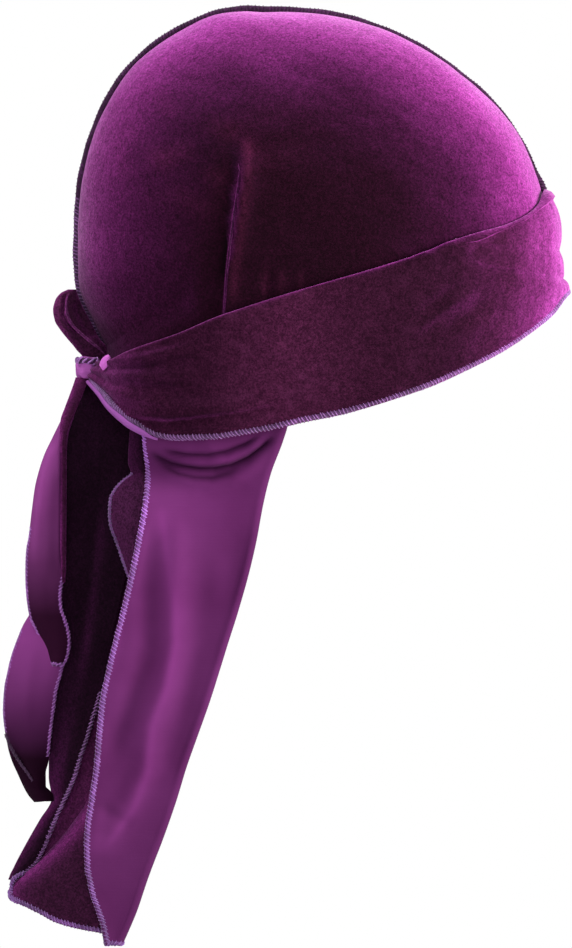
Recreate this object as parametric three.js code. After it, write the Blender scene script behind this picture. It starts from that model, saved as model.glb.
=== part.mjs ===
// Velvet durag in its worn form: two half crowns with a raised centre seam,
// a strap folded double round the forehead, its knot, half bow and two tail
// ends at the back, and a neck flap whose near edge is folded outwards.
// Millimetres. +X is the face side, +Z up, the wearer's right side is at -Y.
// The origin is the inner top of the crown.
import * as THREE from 'three';

// ---- driving dimensions -----------------------------------------------------
const CENTRE = { x: 10.5, z: -90.0 };   // axis about which the head form is measured
const HALF_WIDTH = 78;                  // half breadth of the crown
const SQUARENESS = 2.3;                 // exponent of the rounded head form
const VELVET = 1.6;                     // wall of one layer of velvet
const SEAM_HALF = 0.9;                  // half width of the overlocked seam
const SEAM_PROUD = 2.3;                 // how far the seam stands up
const GAP = 0.35;                       // clearance between neighbouring pieces
const STRAP_EDGE = 2.15;                // height of the strap's upper fold over the crown
const STRAP_PROUD = 3.85;               // height of the doubled strap over the crown
const STRAP_INNER = 1.3;                // clearance under the strap
const DART_STEP = 1.9;                  // height of the pleat's lip over the band
const DART_U = 0.48;                    // where the pleat lies along the crown
const TAIL_WALL = 2.4;                  // two layers of velvet in a tail end
const FLAP_FOLD = 2.2;                  // radius of the flap's turned-out fold

// ---- tables -----------------------------------------------------------------
// outline of the crown from the side: radius at each angle, 0 forward, 90 up
const HEAD = [
  { deg: -146, r: 98 },
  { deg: -141, r: 107 },
  { deg: -135, r: 118 },
  { deg: -125, r: 134 },
  { deg: -110, r: 148 },
  { deg: -90, r: 152 },
  { deg: -70, r: 144 },
  { deg: -50, r: 130 },
  { deg: -35, r: 119.5 },
  { deg: -25, r: 115 },
  { deg: -17, r: 112.2 },
  { deg: -13.2, r: 112.3 },
  { deg: -10.9, r: 109.4 },
  { deg: -7.3, r: 108 },
  { deg: -4.5, r: 106 },
  { deg: -2, r: 106.6 },
  { deg: 1, r: 106.1 },
  { deg: 4, r: 105.2 },
  { deg: 9, r: 102.7 },
  { deg: 15, r: 101.4 },
  { deg: 22, r: 100 },
  { deg: 30, r: 97.9 },
  { deg: 38, r: 95.7 },
  { deg: 45, r: 93.9 },
  { deg: 60, r: 91.5 },
  { deg: 75, r: 90.7 },
  { deg: 90, r: 91.4 },
  { deg: 99, r: 92.9 },
  { deg: 105, r: 95.3 },
  { deg: 112, r: 97 },
  { deg: 120, r: 97.4 },
  { deg: 128, r: 98.2 },
  { deg: 135, r: 98.1 },
  { deg: 143, r: 97.2 },
  { deg: 150, r: 96.1 },
  { deg: 165, r: 93.8 },
  { deg: 180, r: 92.9 },
  { deg: 188, r: 93.9 },
  { deg: 196, r: 95.3 },
  { deg: 204, r: 94.7 },
  { deg: 211, r: 94.9 },
];

// upper fold and lower hem of the band, and the hidden rim of the crown, seen from the side
const BAND_TOP = [
  { x: -78.5, z: -146.3 },
  { x: -73.5, z: -145.4 },
  { x: -69.7, z: -145 },
  { x: -60.9, z: -141.7 },
  { x: -49.6, z: -137.5 },
  { x: -39.1, z: -133.7 },
  { x: -25.2, z: -127.4 },
  { x: -8.4, z: -121.5 },
  { x: 10.5, z: -115.6 },
  { x: 27.7, z: -110.6 },
  { x: 44.9, z: -105.5 },
  { x: 62.2, z: -99.7 },
  { x: 74.3, z: -94.6 },
  { x: 83.6, z: -91.7 },
  { x: 94.5, z: -88.7 },
  { x: 102.1, z: -85.4 },
  { x: 106.7, z: -82.4 },
  { x: 109.6, z: -79.1 },
  { x: 111.7, z: -73.6 },
  { x: 114.7, z: -70.7 },
  { x: 118, z: -69 },
];

const BAND_BOTTOM = [
  { x: -78.5, z: -153.8 },
  { x: -74.3, z: -158.9 },
  { x: -66.4, z: -166.4 },
  { x: -57.1, z: -172.7 },
  { x: -49.6, z: -175.7 },
  { x: -39.1, z: -177.4 },
  { x: -25.2, z: -176.9 },
  { x: -14.7, z: -175.3 },
  { x: -3.8, z: -173.6 },
  { x: 10.5, z: -170.2 },
  { x: 27.7, z: -166.7 },
  { x: 44.9, z: -161.6 },
  { x: 62.2, z: -155.5 },
  { x: 83.6, z: -145.7 },
  { x: 96.2, z: -138.3 },
  { x: 105, z: -132 },
  { x: 112.6, z: -125.7 },
  { x: 117.6, z: -118.6 },
  { x: 122.2, z: -114.4 },
  { x: 124.7, z: -113.1 },
];

const RIM = [
  { x: -78.5, z: -150.5 },
  { x: -71.8, z: -151.3 },
  { x: -60.9, z: -151.3 },
  { x: -49.6, z: -149.6 },
  { x: -39.1, z: -147.1 },
  { x: -25.2, z: -142.1 },
  { x: -8.4, z: -136.6 },
  { x: 10.5, z: -130.7 },
  { x: 27.7, z: -125.7 },
  { x: 44.9, z: -120.7 },
  { x: 62.2, z: -114.8 },
  { x: 83.6, z: -106 },
  { x: 102.1, z: -97.6 },
  { x: 111.3, z: -90 },
  { x: 118, z: -86.6 },
];

// which seam angle runs to which direction round the rim
const PAIR = [
  { u: 0, seam: 9, azimuth: 0 },
  { u: 0.1, seam: 29, azimuth: 26 },
  { u: 0.25, seam: 59, azimuth: 64 },
  { u: 0.48, seam: 106, azimuth: 111 },
  { u: 0.62, seam: 135, azimuth: 132 },
  { u: 0.8, seam: 171, azimuth: 157 },
  { u: 1, seam: 211, azimuth: 180 },
];

// half bow: front and back limits at each height
const LOOP = [
  { z: -115, x0: -86.9, x1: -83.8 },
  { z: -116.5, x0: -89.9, x1: -83.4 },
  { z: -119.4, x0: -92.2, x1: -82.7 },
  { z: -123.6, x0: -93.2, x1: -81.1 },
  { z: -128.2, x0: -92.4, x1: -78.5 },
  { z: -132, x0: -90.1, x1: -76.4 },
  { z: -135.8, x0: -87.1, x1: -74.3 },
  { z: -138.7, x0: -84.6, x1: -72.9 },
  { z: -140.8, x0: -83, x1: -72 },
  { z: -142.8, x0: -81.1, x1: -73.1 },
];

// tail ends: the two edges at each height, and how far each stands toward the right side
const TAIL_LONG = [
  { z: -154.4, x0: -82.3, x1: -74.8, y0: 1, y1: -2 },
  { z: -158, x0: -84.4, x1: -72.2, y0: 1, y1: -3 },
  { z: -161.4, x0: -86.1, x1: -68.9, y0: 0, y1: -5 },
  { z: -168.1, x0: -87.8, x1: -62.6, y0: -2, y1: -8 },
  { z: -173.2, x0: -88.2, x1: -58, y0: -3, y1: -10 },
  { z: -178.2, x0: -88.6, x1: -57.1, y0: -3, y1: -11 },
  { z: -195, x0: -89, x1: -56.3, y0: -4, y1: -12 },
  { z: -211.8, x0: -89.5, x1: -58, y0: -4, y1: -12 },
  { z: -228.6, x0: -89.5, x1: -61.3, y0: -4, y1: -12 },
  { z: -245.4, x0: -89.5, x1: -64.7, y0: -4, y1: -12 },
  { z: -262.2, x0: -88.6, x1: -68.5, y0: -4, y1: -12 },
  { z: -279, x0: -90.3, x1: -71.8, y0: -4, y1: -12 },
  { z: -294.5, x0: -92.8, x1: -73.9, y0: -4, y1: -12 },
  { z: -310.5, x0: -94.5, x1: -76.6, y0: -4, y1: -12 },
  { z: -319.3, x0: -94.5, x1: -78.1, y0: -4, y1: -12 },
  { z: -328.6, x0: -93.2, x1: -80.2, y0: -4, y1: -11 },
  { z: -337.8, x0: -98.3, x1: -85.3, y0: -4, y1: -10 },
  { z: -346.2, x0: -102.9, x1: -92, y0: -4, y1: -9 },
  { z: -352.5, x0: -106.7, x1: -98.1, y0: -4, y1: -8 },
  { z: -357.1, x0: -109, x1: -102.9, y0: -4, y1: -7 },
  { z: -360.9, x0: -110.9, x1: -107.5, y0: -4, y1: -6 },
  { z: -362.8, x0: -111.5, x1: -109.8, y0: -4, y1: -5 },
];

const TAIL_SHORT = [
  { z: -154.4, x0: -83.2, x1: -80.2, y0: -7, y1: -8 },
  { z: -161.4, x0: -86.1, x1: -82.7, y0: -10, y1: -11 },
  { z: -168.1, x0: -88.6, x1: -84.8, y0: -12, y1: -13 },
  { z: -177.4, x0: -93.2, x1: -87.8, y0: -13, y1: -15 },
  { z: -184.5, x0: -96.6, x1: -88.2, y0: -13, y1: -16 },
  { z: -192.1, x0: -99.1, x1: -88.4, y0: -13, y1: -16 },
  { z: -198.4, x0: -100.4, x1: -88.6, y0: -13, y1: -16 },
  { z: -207.2, x0: -101.6, x1: -88.6, y0: -13, y1: -16 },
  { z: -217.7, x0: -102.9, x1: -88.6, y0: -13, y1: -16 },
  { z: -226.1, x0: -104.4, x1: -88.6, y0: -13, y1: -16 },
  { z: -234.9, x0: -104.6, x1: -89, y0: -13, y1: -16 },
  { z: -243.3, x0: -104.2, x1: -89.9, y0: -13, y1: -16 },
  { z: -250.9, x0: -103.1, x1: -88.6, y0: -13, y1: -16 },
  { z: -256.3, x0: -105.4, x1: -86.9, y0: -12, y1: -16 },
  { z: -262.2, x0: -107.9, x1: -85.9, y0: -12, y1: -16 },
  { z: -268.5, x0: -110.2, x1: -86.9, y0: -12, y1: -15 },
  { z: -274.4, x0: -111.7, x1: -89.2, y0: -12, y1: -14 },
  { z: -283.6, x0: -113.4, x1: -91.6, y0: -12, y1: -14 },
  { z: -292, x0: -113.8, x1: -92.8, y0: -12, y1: -14 },
  { z: -300, x0: -113, x1: -93.9, y0: -12, y1: -14 },
  { z: -307.1, x0: -111.7, x1: -94.7, y0: -12, y1: -13 },
  { z: -312.6, x0: -110, x1: -95.3, y0: -11, y1: -13 },
  { z: -318.1, x0: -107.5, x1: -96.6, y0: -11, y1: -12 },
  { z: -323.5, x0: -105, x1: -96.6, y0: -10, y1: -11 },
  { z: -326.9, x0: -103.1, x1: -93.7, y0: -10, y1: -10 },
  { z: -329.8, x0: -100.6, x1: -93.2, y0: -10, y1: -10 },
];

// ruffled fold of the neck flap
const FOLD = [
  { z: -178.2, x0: -60.5, x1: -52.5, y0: -34, y1: -41.5 },
  { z: -187.4, x0: -60.9, x1: -52.5, y0: -34, y1: -42 },
  { z: -192.5, x0: -59.6, x1: -52.1, y0: -33, y1: -42.5 },
  { z: -195.4, x0: -63.4, x1: -51.7, y0: -32, y1: -43 },
  { z: -198.8, x0: -66.8, x1: -51.7, y0: -30, y1: -43 },
  { z: -203, x0: -68.9, x1: -52.1, y0: -28, y1: -43 },
  { z: -208.9, x0: -69.3, x1: -52.5, y0: -27, y1: -42 },
  { z: -213.5, x0: -68.9, x1: -52.9, y0: -27, y1: -42 },
  { z: -219.4, x0: -66.8, x1: -53.3, y0: -28, y1: -41 },
  { z: -225.2, x0: -64.7, x1: -53.8, y0: -30, y1: -41 },
  { z: -233.6, x0: -61.7, x1: -54.2, y0: -32, y1: -40 },
  { z: -238.7, x0: -59.6, x1: -54.2, y0: -34, y1: -39 },
];

// neck flap at each height: free edge and fold of the turned-out part, rearmost line, half width
const CAPE = [
  { z: -161.4, xFree: -55.4, xFold: 5.5, xBack: -59.6, side: 58 },
  { z: -171.9, xFree: -55.2, xFold: 4.6, xBack: -55.8, side: 56.8 },
  { z: -178.2, xFree: -55, xFold: 2.8, xBack: -54.2, side: 56 },
  { z: -192.5, xFree: -53.8, xFold: -2.5, xBack: -53.5, side: 53.2 },
  { z: -205.1, xFree: -55, xFold: -5.6, xBack: -54.3, side: 50.7 },
  { z: -220.2, xFree: -57.8, xFold: -8.4, xBack: -56.7, side: 48.2 },
  { z: -233.6, xFree: -60.5, xFold: -11.5, xBack: -59.4, side: 46 },
  { z: -250.9, xFree: -64.4, xFold: -16.4, xBack: -63.1, side: 43.1 },
  { z: -262.2, xFree: -67.4, xFold: -20, xBack: -65.9, side: 41.2 },
  { z: -273.5, xFree: -70.1, xFold: -23.5, xBack: -68.2, side: 39.3 },
  { z: -287.4, xFree: -73, xFold: -27.9, xBack: -71, side: 37 },
  { z: -302.9, xFree: -74.6, xFold: -33.4, xBack: -73.5, side: 34.4 },
  { z: -315.1, xFree: -75.6, xFold: -37.7, xBack: -75.7, side: 32.4 },
  { z: -328.6, xFree: -77.7, xFold: -41.8, xBack: -78.5, side: 30.1 },
  { z: -340.3, xFree: -79.4, xFold: -45.8, xBack: -85.7, side: 28.3 },
  { z: -348.7, xFree: -79.8, xFold: -48.9, xBack: -92.6, side: 26.9 },
  { z: -353.3, xFree: -79.6, xFold: -50.7, xBack: -97.2, side: 26.2 },
  { z: -358, xFree: -79.4, xFold: -52.5, xBack: -102.5, side: 25.6 },
  { z: -363, xFree: -78.4, xFold: -54.3, xBack: -108.4, side: 25 },
  { z: -365.1, xFree: -78, xFold: -55, xBack: -110.5, side: 24.8 },
  { z: -367.2, xFree: -77.6, xFold: -55.7, xBack: -111.4, side: 24.6 },
  { z: -375.2, xFree: -74.8, xFold: -58.4, xBack: -111.5, side: 23.7 },
  { z: -381.5, xFree: -72.7, xFold: -61, xBack: -111.5, side: 23 },
  { z: -389.9, xFree: -71, xFold: -64.7, xBack: -111.5, side: 22 },
];

// hem height below each part of the flap: along = 0 free edge, 1 fold, 2 rearmost line, 3 far edge
const HEM = [
  { along: 0, z: -389.9 }, { along: 1, z: -389.9 }, { along: 1.1, z: -387.4 }, { along: 1.15, z: -384.9 },
  { along: 1.25, z: -383.2 }, { along: 1.4, z: -380.5 }, { along: 1.55, z: -376.3 }, { along: 1.7, z: -373.3 },
  { along: 1.85, z: -371.4 }, { along: 2, z: -369.2 }, { along: 2.3, z: -372.3 }, { along: 3, z: -381.3 },
];

// ---- helpers ----------------------------------------------------------------
const clamp = (v, a, b) => Math.min(b, Math.max(a, v));
const mix = (a, b, t) => a + (b - a) * t;
const smooth = (a, b, v) => { const t = clamp((v - a) / (b - a), 0, 1); return t * t * (3 - 2 * t); };

// smooth curve through one column of a table, with no overshoot
function curve(rows, key, col) {
  const r = [...rows].sort((a, b) => a[key] - b[key]);
  const n = r.length, k = r.map((q) => q[key]), v = r.map((q) => q[col]);
  const s = [], m = [];
  for (let i = 0; i < n - 1; i++) s.push((v[i + 1] - v[i]) / (k[i + 1] - k[i]));
  for (let i = 0; i < n; i++) {
    if (i === 0) m.push(s[0]);
    else if (i === n - 1) m.push(s[n - 2]);
    else m.push(s[i - 1] * s[i] <= 0 ? 0 : (2 * s[i - 1] * s[i]) / (s[i - 1] + s[i]));
  }
  return (x) => {
    if (x <= k[0]) return v[0];
    if (x >= k[n - 1]) return v[n - 1];
    let i = 0;
    while (x > k[i + 1]) i++;
    const h = k[i + 1] - k[i], t = (x - k[i]) / h, t2 = t * t, t3 = t2 * t;
    return v[i] * (2 * t3 - 3 * t2 + 1) + m[i] * h * (t3 - 2 * t2 + t)
      + v[i + 1] * (3 * t2 - 2 * t3) + m[i + 1] * h * (t3 - t2);
  };
}

const radiusAt = curve(HEAD, 'deg', 'r');
function headRadius(x, z) {
  let deg = Math.atan2(z, x) * 180 / Math.PI;
  if (deg < -146) deg += 360;
  if (deg > 211) return mix(radiusAt(211), radiusAt(-146), (deg - 211) / 3);
  return radiusAt(deg);
}
// the head form is where this is 1
function form(p) {
  const dx = p.x - CENTRE.x, dz = p.z - CENTRE.z;
  const rho = Math.hypot(dx, dz);
  return (rho / headRadius(dx, dz)) ** SQUARENESS + (Math.abs(p.y) / HALF_WIDTH) ** SQUARENESS;
}
function formNormal(p) {
  const e = 0.6, g = new THREE.Vector3();
  for (const a of ['x', 'y', 'z']) {
    const q = p.clone(), w = p.clone();
    q[a] += e; w[a] -= e;
    g[a] = form(q) - form(w);
  }
  return g.normalize();
}
// point of the head form in a direction from its centre
function onForm(dir) {
  const q = new THREE.Vector3(CENTRE.x + dir.x, dir.y, CENTRE.z + dir.z);
  const s = form(q) ** (-1 / SQUARENESS);
  return new THREE.Vector3(CENTRE.x + dir.x * s, dir.y * s, CENTRE.z + dir.z * s);
}
// point of the head form at an azimuth (0 forward, 90 right side) where a side-view line crosses it
function onLine(azimuth, line) {
  const c = Math.cos(azimuth), s = -Math.sin(azimuth);
  let lo = 5, hi = 140;
  for (let i = 0; i < 40; i++) {
    const r = (lo + hi) / 2, x = CENTRE.x + r * c;
    if (form({ x, y: r * s, z: line(x) }) < 1) lo = r; else hi = r;
  }
  const x = CENTRE.x + lo * c;
  return new THREE.Vector3(x, lo * s, line(x));
}

function solidFrom(positions, index, color) {
  const g = new THREE.BufferGeometry();
  g.setAttribute('position', new THREE.Float32BufferAttribute(positions, 3));
  let volume = 0;
  for (let i = 0; i < index.length; i += 3) {
    const [a, b, c] = [0, 1, 2].map((k) => new THREE.Vector3().fromArray(positions, index[i + k] * 3));
    volume += a.dot(b.cross(c));
  }
  if (volume < 0) for (let i = 0; i < index.length; i += 3) [index[i], index[i + 1]] = [index[i + 1], index[i]];
  g.setIndex(index);
  g.computeVertexNormals();
  return g;
}
// closed wall between an outer and an inner grid of points
function wall(outer, inner) {
  const rows = outer.length, cols = outer[0].length, pos = [], index = [];
  for (const grid of [outer, inner]) for (const row of grid) for (const p of row) pos.push(p.x, p.y, p.z);
  const at = (k, i, j) => k * rows * cols + i * cols + j;
  const quad = (a, b, c, d) => index.push(a, b, c, a, c, d);
  for (let i = 0; i < rows - 1; i++) {
    for (let j = 0; j < cols - 1; j++) {
      quad(at(0, i, j), at(0, i, j + 1), at(0, i + 1, j + 1), at(0, i + 1, j));
      quad(at(1, i, j), at(1, i + 1, j), at(1, i + 1, j + 1), at(1, i, j + 1));
    }
    quad(at(0, i, 0), at(0, i + 1, 0), at(1, i + 1, 0), at(1, i, 0));
    quad(at(0, i, cols - 1), at(1, i, cols - 1), at(1, i + 1, cols - 1), at(0, i + 1, cols - 1));
  }
  for (let j = 0; j < cols - 1; j++) {
    quad(at(0, 0, j), at(1, 0, j), at(1, 0, j + 1), at(0, 0, j + 1));
    quad(at(0, rows - 1, j), at(0, rows - 1, j + 1), at(1, rows - 1, j + 1), at(1, rows - 1, j));
  }
  return solidFrom(pos, index);
}
// wall of one thickness about a middle surface
function sheet(mid, thickness) {
  const rows = mid.length, cols = mid[0].length;
  const shift = (side) => mid.map((row, i) => row.map((p, j) => {
    const du = mid[Math.min(i + 1, rows - 1)][j].clone().sub(mid[Math.max(i - 1, 0)][j]);
    const dv = row[Math.min(j + 1, cols - 1)].clone().sub(row[Math.max(j - 1, 0)]);
    return p.clone().addScaledVector(du.cross(dv).normalize(), side * thickness / 2);
  }));
  return wall(shift(1), shift(-1));
}

// ---- crown ------------------------------------------------------------------
const rimLine = curve(RIM, 'x', 'z');
const seamAngle = curve(PAIR, 'u', 'seam');
const rimAzimuth = curve(PAIR, 'u', 'azimuth');
const CROWN_COLS = 32, CROWN_ROWS = 11;

// height of the pleat at a place on the crown: a lip on its forward side that fades upwards,
// pressed flat where the band covers it
function pleat(u, v) {
  const d = DART_U - u;                           // forward of the lip is positive
  const lip = smooth(-0.007, 0.004, d) * Math.exp(-Math.max(d, 0) / 0.055);
  return DART_STEP * lip * smooth(0.30, 0.62, v) * (1 - smooth(0.80, 0.87, v));
}
function crownHalf(side) {
  const us = [];
  for (let i = 0; i <= 18; i++) us.push(0.465 * i / 18);
  us.push(DART_U - 0.004, DART_U + 0.008);
  for (let i = 1; i <= CROWN_COLS - 17; i++) us.push(DART_U + 0.02 + (1 - DART_U - 0.02) * i / (CROWN_COLS - 17));
  const outer = [], inner = [];
  for (const u of us) {
    const a = seamAngle(u) * Math.PI / 180;
    const top = new THREE.Vector3(Math.cos(a), 0, Math.sin(a));
    const low = onLine(rimAzimuth(u) * Math.PI / 180, rimLine);
    low.x -= CENTRE.x; low.z -= CENTRE.z;
    const dir = low.clone().normalize();
    const angle = top.angleTo(dir), o = [], n = [];
    for (let j = 0; j <= CROWN_ROWS; j++) {
      const v = j / CROWN_ROWS;
      const d = angle < 1e-4 ? top.clone() : top.clone().multiplyScalar(Math.sin((1 - v) * angle))
        .addScaledVector(dir, Math.sin(v * angle)).divideScalar(Math.sin(angle));
      const p = onForm(d), normal = formNormal(p);
      for (const [list, lift] of [[o, pleat(u, v)], [n, pleat(u, v) - VELVET]]) {
        const q = p.clone().addScaledVector(normal, lift);
        const y = SEAM_HALF + GAP + Math.abs(q.y) * (1 - (SEAM_HALF + GAP) / HALF_WIDTH);
        list.push(new THREE.Vector3(q.x, side * y, q.z));
      }
    }
    outer.push(o); inner.push(n);
  }
  return wall(outer, inner);
}

// overlocked ridge between the halves, standing up from the outline
function centreSeam() {
  const N = 48, outer = [], inner = [];
  for (let i = 0; i <= N; i++) {
    const deg = mix(10.6, 210.5, i / N), a = deg * Math.PI / 180;
    const proud = SEAM_PROUD * mix(0.55, 1, smooth(35, 95, deg)) * mix(1, 0.8, smooth(185, 209, deg));
    const r = radiusAt(deg);
    const at = (h, y) => new THREE.Vector3(CENTRE.x + (r + h) * Math.cos(a), y, CENTRE.z + (r + h) * Math.sin(a));
    outer.push([at(proud - 0.5, -SEAM_HALF), at(proud, 0), at(proud - 0.5, SEAM_HALF)]);
    inner.push([at(-VELVET, -SEAM_HALF), at(-VELVET, 0), at(-VELVET, SEAM_HALF)]);
  }
  return wall(outer, inner);
}

// ---- band -------------------------------------------------------------------
const topLine = curve(BAND_TOP, 'x', 'z');
const hemLine = curve(BAND_BOTTOM, 'x', 'z');
function bandPoint(azimuth, w, lift) {
  // toward the knot the side-view lines are read where the raised cloth lies
  const back = 3.5 * smooth(2.44, 3.01, Math.abs(azimuth));
  const p = onLine(azimuth, (x) => mix(topLine(x - back), hemLine(x - back), w));
  return p.addScaledVector(formNormal(p), lift);
}
function band() {
  const half = 24, end = 172.6 * Math.PI / 180, outer = [], inner = [];
  const steps = [0, 0.07, 0.24, 0.5, 0.76, 1];
  for (let i = -half; i <= half; i++) {
    const t = Math.abs(i) / half, azimuth = Math.sign(i) * end * (0.72 * t + 0.28 * t * t * (3 - 2 * t));
    outer.push(steps.map((w) => bandPoint(azimuth, w, mix(STRAP_EDGE, STRAP_PROUD, smooth(0, 0.14, w)))));
    inner.push(steps.map((w) => bandPoint(azimuth, w, STRAP_INNER)));
  }
  return wall(outer, inner);
}

// ---- knot and half bow --------------------------------------------------------
function roundedBlock(centre, half, power, across, up) {
  const g = new THREE.SphereGeometry(1, across, up);
  const pos = [], keep = new Map(), index = [];
  const src = g.getAttribute('position'), idx = g.getIndex().array, remap = [];
  for (let i = 0; i < src.count; i++) {
    const p = new THREE.Vector3().fromBufferAttribute(src, i);
    const k = p.toArray().map((v) => v.toFixed(5).replace('-0.00000', '0.00000')).join();
    if (!keep.has(k)) {
      keep.set(k, pos.length / 3);
      const q = (v) => Math.sign(v) * Math.abs(v) ** power;
      pos.push(centre.x + half.x * q(p.x), centre.y + half.y * q(p.z), centre.z + half.z * q(p.y));
    }
    remap.push(keep.get(k));
  }
  for (let i = 0; i < idx.length; i += 3) {
    const t = [remap[idx[i]], remap[idx[i + 1]], remap[idx[i + 2]]];
    if (t[0] !== t[1] && t[1] !== t[2] && t[0] !== t[2]) index.push(...t);
  }
  return solidFrom(pos, index);
}
const KNOT = { x: -79.3, y: 0, z: -148.2 }, KNOT_HALF = { x: 4.3, y: 12.5, z: 5.2 };

// lofted closed body of rounded sections, one per table height
function petal(rows, yMid, yHalf) {
  const AROUND = 12, STEPS = 10, pos = [], index = [];
  const zs = rows.map((r) => r.z), z0 = Math.min(...zs), z1 = Math.max(...zs);
  const x0 = curve(rows, 'z', 'x0'), x1 = curve(rows, 'z', 'x1');
  for (let i = 0; i <= STEPS; i++) {
    const t = i / STEPS, z = mix(z0, z1, 0.5 - 0.5 * Math.cos(Math.PI * t));
    const hx = Math.max((x1(z) - x0(z)) / 2, 0.6), hy = yHalf * Math.max(Math.sin(Math.PI * mix(0.10, 0.92, t)), 0.25);
    for (let j = 0; j < AROUND; j++) {
      const a = 2 * Math.PI * j / AROUND;
      pos.push((x0(z) + x1(z)) / 2 + hx * Math.cos(a), yMid + hy * Math.sin(a), z);
    }
  }
  for (let i = 0; i < STEPS; i++) for (let j = 0; j < AROUND; j++) {
    const a = i * AROUND + j, b = i * AROUND + (j + 1) % AROUND;
    index.push(a, b, b + AROUND, a, b + AROUND, a + AROUND);
  }
  for (let j = 1; j < AROUND - 1; j++) {
    index.push(0, j + 1, j);
    const t = STEPS * AROUND;
    index.push(t, t + j, t + j + 1);
  }
  return solidFrom(pos, index);
}

// ---- hanging sheets -----------------------------------------------------------
// strip between two edges given at each height, bowed a little toward the right side
function strip(rows, steps, cols, bow, thickness) {
  const zs = rows.map((r) => r.z), z0 = Math.max(...zs), z1 = Math.min(...zs);
  const [x0, x1, y0, y1] = ['x0', 'x1', 'y0', 'y1'].map((c) => curve(rows, 'z', c));
  const mid = [];
  for (let i = 0; i <= steps; i++) {
    const z = mix(z0, z1, i / steps), row = [];
    for (let j = 0; j <= cols; j++) {
      const t = j / cols;
      row.push(new THREE.Vector3(mix(x0(z), x1(z), t), mix(y0(z), y1(z), t) - bow * 4 * t * (1 - t), z));
    }
    mid.push(row);
  }
  return sheet(mid, thickness);
}

const capeCurves = Object.fromEntries(['xFree', 'xFold', 'xBack', 'side'].map((c) => [c, curve(CAPE, 'z', c)]));
const hemAt = curve(HEM, 'along', 'z');
const CAPE_TOP = -161.3, BAND_HEM_Z = -177.3;
const NAPE_RISE = 10.5;
// the upper edge climbs behind the band toward the knot
const capeTop = (along) => CAPE_TOP + NAPE_RISE * smooth(1.42, 1.85, along) * (1 - smooth(2.25, 2.68, along));
// along: 0..1 turned-out part, 1..2 near side to the rearmost line, 2..3 far side
function capePoint(along, v) {
  const z = mix(capeTop(along), hemAt(along), v);
  const xFree = capeCurves.xFree(z), xFold = capeCurves.xFold(z), xBack = capeCurves.xBack(z), side = capeCurves.side(z);
  const xf = xFold - FLAP_FOLD;
  let x, y;
  if (along < 0.9) {
    const t = along / 0.9;
    x = mix(xFree, xf, t);
    y = -(side + 2 * FLAP_FOLD + 2.6 * (1 - t) ** 2);
  } else if (along < 1.1) {
    const a = Math.PI * (along - 0.9) / 0.2;
    x = xf + FLAP_FOLD * Math.sin(a);
    y = -(side + FLAP_FOLD + FLAP_FOLD * Math.cos(a));
  } else {
    const t = (along - 1.1) / 1.9, a = Math.PI * t;
    const front = t < 0.5 ? xf : xf - 12;
    x = front - (front - xBack) * Math.sin(a) ** 0.72;
    y = -side * Math.sign(Math.cos(a)) * Math.abs(Math.cos(a)) ** 0.72;
  }
  // under the band the flap lies inside the head form
  const depth = y < 0 && along < 1 ? 1.5 : along < 1.1 ? mix(1.5, 5.9, (along - 1) / 0.1) : 5.9;
  const limit = (1 - depth / 78) ** SQUARENESS, w = smooth(-206, BAND_HEM_Z - 3, z);
  if (w > 0 && form({ x, y, z }) > limit) {
    const dx = x - CENTRE.x, dz = z - CENTRE.z;
    const rest = Math.max(limit - (Math.hypot(dx, dz) / headRadius(dx, dz)) ** SQUARENESS, 1e-4);
    y = mix(y, Math.sign(y) * HALF_WIDTH * rest ** (1 / SQUARENESS), w);
  }
  return new THREE.Vector3(x, y, z);
}
function cape() {
  const alongs = [0, 0.3, 0.6, 0.9, 0.95, 1, 1.05, 1.1, 1.2, 1.35, 1.55, 1.75, 1.9, 2.05, 2.2, 2.35, 2.55, 2.75, 3];
  const mid = [];
  for (let i = 0; i <= 20; i++) mid.push(alongs.map((a) => capePoint(a, i / 20)));
  return sheet(mid, VELVET);
}

// ---- the object ---------------------------------------------------------------
const plum = { color: 0x5a1a52, roughness: 0.85, metalness: 0 };
const satin = { color: 0x7d3878, roughness: 0.55, metalness: 0 };
const thread = { color: 0x6f4f95, roughness: 0.6, metalness: 0 };
const durag = new THREE.Group();
function add(name, geometry, look) {
  const m = new THREE.Mesh(geometry, new THREE.MeshStandardMaterial(look));
  m.name = name;
  durag.add(m);
}
add('crown_right', crownHalf(-1), plum);
add('crown_left', crownHalf(1), plum);
add('centre_seam', centreSeam(), thread);
add('band', band(), plum);
add('knot', roundedBlock(KNOT, KNOT_HALF, 0.7, 16, 10), satin);
add('knot_loop', petal(LOOP, -5.8, 4.2), plum);
add('tail_long', strip(TAIL_LONG, 26, 4, 1.5, TAIL_WALL), plum);
add('tail_short', strip(TAIL_SHORT, 30, 4, 1.5, TAIL_WALL), satin);
add('cape_fold', strip(FOLD, 10, 3, 2, VELVET), plum);
add('cape', cape(), satin);

export default durag;
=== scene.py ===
import math

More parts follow.
